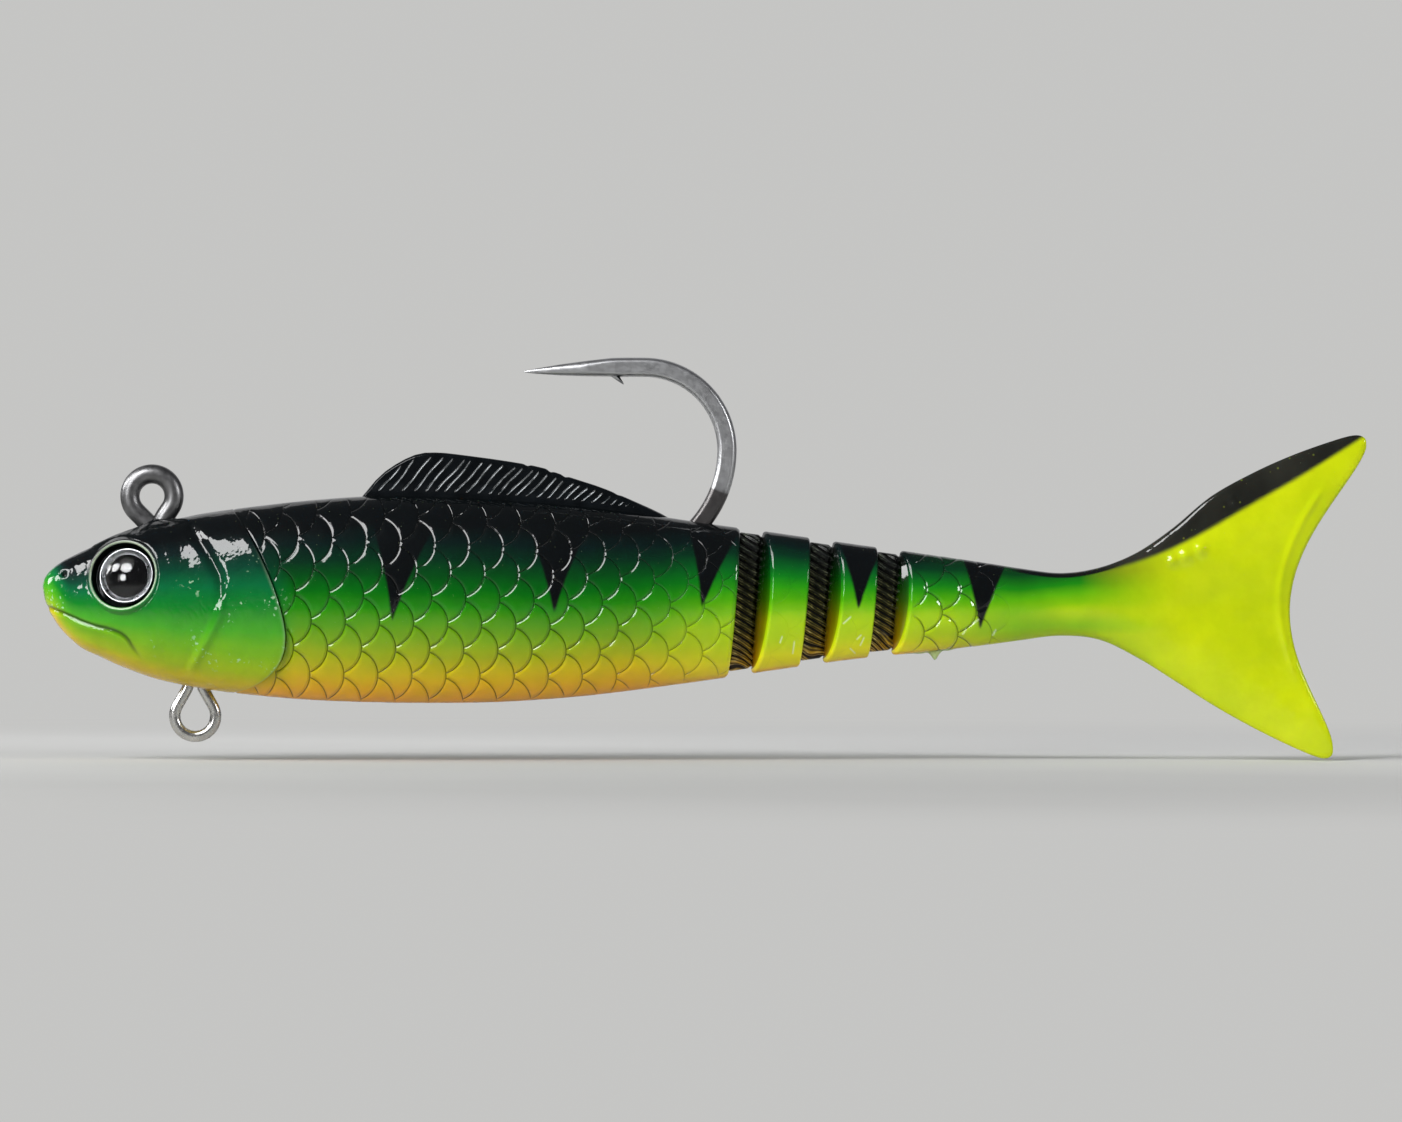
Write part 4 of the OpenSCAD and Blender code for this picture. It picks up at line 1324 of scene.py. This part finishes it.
def loop_steel():
    n = Nodes("loop_steel")
    colour = n.patches(900, 4, (180, 179, 176), (206, 205, 202))
    n.set(Base_Color=colour, Metallic=1.0, Roughness=n.patches(2200, 4, 0.2, 0.3))
    n.bump(n.noise(2600, 3), 0.06, 0.00005)
    return n.owner


def cast_lead():
    n = Nodes("cast_lead")
    n.set(Base_Color=n.patches(400, 6, (84, 86, 90), (122, 124, 128)), Metallic=1.0, Roughness=0.55)
    n.bump(n.noise(700, 6), 0.3, 0.0002)
    return n.owner


def eye_foil():
    n = Nodes("eye_foil")
    fleck = n.patches(1600, 5, (150, 152, 156), (210, 212, 216))
    n.set(Base_Color=fleck, Metallic=1.0, Roughness=n.patches(1500, 3, 0.24, 0.4))
    n.bump(n.noise(3200, 4), 0.2, 0.0001)
    return n.owner


def eye_pupil():
    n = Nodes("eye_pupil")
    n.set(
        Base_Color=n.patches(800, 3, (3, 3, 4), (8, 8, 9)), Roughness=0.6, Specular_IOR_Level=0.02,
        Coat_Weight=1.0, Coat_Roughness=0.07, Coat_IOR=1.6,
    )
    return n.owner


def eye_lens():
    n = Nodes("eye_lens")
    clear = n.patches(600, 2, (246, 249, 250), (255, 255, 255))
    n.set(Base_Color=clear, Roughness=0.04, Transmission_Weight=1.0, IOR=1.12)
    return n.owner


# ---- Floor, lights and camera ----

# The photograph's scale, its size and the line tie ring's centre in it, which is the frame's origin.
PIXELS_PER_MM = 9.2
IMAGE = (1402, 1122)
TIE_PIXEL = (152, 496)
CAMERA_AWAY = 0.9
SENSOR = 36

FLOOR_X = 60
FLOOR_BELOW = 0.2
FLOOR_RADII = np.concatenate([
    [0.01], np.arange(15, 120, 15), np.arange(120, 301, 30), [340, 380, 430, 500, 700, 1200, 2400, 4000],
])
PALE = (0.56, 0.56, 0.55, 1)
DIM = (0.09, 0.09, 0.095, 1)
MIRRORED = tuple(0.35 * c for c in PALE)

CENTRE = (0.055, 0, -0.01)
# Soft lamps: name, place, what it points at, width and height, power.
LAMPS = (
    ("front_left", (-0.29, -0.40, 0.12), CENTRE, (0.15, 0.15), 0.9),
    ("over_left", (-0.18, -0.28, 0.29), CENTRE, (0.24, 0.21), 1.85),
    ("snout", (-0.24, -0.075, 0.17), (-0.008, 0, -0.008), (0.11, 0.11), 0.45),
    ("left", (-0.32, 0.05, 0.14), (-0.01, 0, -0.01), (0.12, 0.12), 0.5),
    ("behind", (0.06, 0.55, 0.15), CENTRE, (0.8, 0.8), 0.85),
    ("right", (0.53, -0.30, 0.17), CENTRE, (0.14, 0.14), 1.05),
)


def seen_share(n):
    """1 for rays from the camera, a mirror or glass, which see the pale background, and 0 for the others."""
    return n.most(*(n.out("LightPath", f"Is {kind} Ray") for kind in ("Camera", "Glossy", "Transmission")))


def make_floor():
    """A round pale floor that runs out into the pale background."""
    floor_z = CAD_BOX[0][2] / MM - FLOOR_BELOW
    phi = ring_angles(72)
    x, y = FLOOR_X + FLOOR_RADII[:, None] * np.cos(phi), FLOOR_RADII[:, None] * np.sin(phi)
    grid = np.stack([x, y, np.full(x.shape, floor_z)], -1)
    masks = {
        "far": around(ramp(FLOOR_RADII, 70, 240), len(phi)),
        "depth": (y + 150) / 350 + 0.45 * (ramp(x, -60, 210) - 0.5),
    }
    n = Nodes("floor")
    deep = n.ramp(
        n.mask("depth"), (0.0, (151, 151, 149)), (0.34, (174, 174, 172)), (0.57, (201, 201, 199)),
        (1.0, (213, 213, 211)),
    )
    n.set(
        Base_Color=n.mix(n.patches(8, 3, 0.0, 0.06), deep, (240, 240, 238)), Roughness=0.9,
        Specular_IOR_Level=0.1,
    )
    glow = n.new("Emission", Color=n.mix(n.out("LightPath", "Is Glossy Ray"), PALE, MIRRORED))
    n.show(n.mask("far") * seen_share(n), n.shader, glow)
    floor = make_object("floor", grid, masks)
    floor.data.materials.append(n.owner)


def soft_light(name, place, aim, size, power):
    light = bpy.data.lights.new(name, "AREA")
    light.shape = "ELLIPSE"
    light.size, light.size_y = size
    light.energy = power
    obj = bpy.data.objects.new(name, light)
    bpy.context.scene.collection.objects.link(obj)
    obj.location = place
    obj.rotation_euler = (Vector(aim) - Vector(place)).to_track_quat("-Z", "Y").to_euler()
    obj.visible_camera = False


def make_camera():
    """A camera straight at the side of the lure, which frames it as the photograph does."""
    middle_x = (IMAGE[0] / 2 - TIE_PIXEL[0]) / PIXELS_PER_MM * MM
    middle_z = (TIE_PIXEL[1] - IMAGE[1] / 2) / PIXELS_PER_MM * MM
    camera = bpy.data.cameras.new("camera")
    camera.sensor_width = SENSOR
    camera.sensor_fit = "HORIZONTAL"
    camera.lens = SENSOR * CAMERA_AWAY / (IMAGE[0] / PIXELS_PER_MM * MM)
    camera.clip_start = 0.01
    obj = bpy.data.objects.new("camera", camera)
    obj.location = (middle_x, -CAMERA_AWAY, middle_z)
    obj.rotation_euler = (pi / 2, 0, 0)
    bpy.context.scene.collection.objects.link(obj)
    bpy.context.scene.camera = obj


def make_world():
    """Faint even light. The rays of seen_share see a pale background, which fades low down in mirrors."""
    n = Nodes("world", bpy.data.worlds)
    bpy.context.scene.world = n.owner
    soft = n.tree.nodes["Background"]
    soft.inputs["Color"].default_value = (0.9, 0.93, 1.0, 1)
    soft.inputs["Strength"].default_value = 0.18
    way = n.new("SeparateXYZ", Vector=n.out("TexCoord", "Generated"))
    sideways = n.math("ABSOLUTE", Value(n, way.outputs["Y"]))
    height = sideways * n.out("LightPath", "Is Glossy Ray") + Value(n, way.outputs["Z"])
    pale = n.new("Background", Color=n.ramp(height, (0.16, PALE), (0.42, DIM)))
    n.show(seen_share(n), soft, pale)


# ---- The object ----

def place(piece, material, body, node):
    """Gives a piece its material, the body that it rides on and the CAD node that it replaces."""
    piece.data.materials.append(material)
    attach(piece, body)
    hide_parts(node)


paint = fish_paint("fish_paint")
for piece in (make_head(), make_flank(), make_foot()):
    place(piece, paint, "front", "trunk")

place(make_segment("segment_1_moulding", SLOTS[0][1], SLOTS[1][0]), paint, "middle_1", "segment_1")
place(make_segment("segment_2_moulding", SLOTS[1][1], SLOTS[2][0]), paint, "middle_2", "segment_2")

tail_paint = fish_paint("tail_paint", tail=True)
for piece in (make_tail(), make_flash()):
    place(piece, tail_paint, "rear", "tail")

place(make_dorsal_fin(), fin_plastic(), "front", "dorsal_fin")

mesh_finish = sleeve_mesh()
BODIES = ("front", "middle_1", "middle_2", "rear")
for number, (slot, ahead, behind) in enumerate(zip(SLOTS, BODIES, BODIES[1:]), 1):
    sleeve = make_sleeve(f"mesh_sleeve_{number}_weave", slot)
    sleeve.data.materials.append(mesh_finish)
    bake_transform(sleeve)
    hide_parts(f"mesh_sleeve_{number}")

place(make_hook(), hook_steel(), "front", "jig_hook")
place(make_belly_loop(), loop_steel(), "front", "belly_loop")

# The parts of an eye: the ends of the CAD node's and the piece's names, the profile and the material.
EYE_PARTS = (
    ("foil", "foil_seat", FOIL_PROFILE, eye_foil()),
    ("pupil", "pupil_bead", PUPIL_PROFILE, eye_pupil()),
    ("lens", "lens_dome", LENS_PROFILE, eye_lens()),
)
for side, name in ((-1, "left"), (1, "right")):
    socket = make_socket(f"eye_socket_{name}", side)
    socket.data.materials.append(paint)
    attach(socket, "front")
    for node, kind, profile, material in EYE_PARTS:
        place(lathe(f"eye_{kind}_{name}", profile, side), material, "front", f"eye_{node}_{name}")

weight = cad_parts["head_weight"].data
weight.materials.clear()
weight.materials.append(cast_lead())

make_floor()
make_camera()
for lamp in LAMPS:
    soft_light(*lamp)
make_world()
bpy.context.scene.view_settings.view_transform = "Standard"
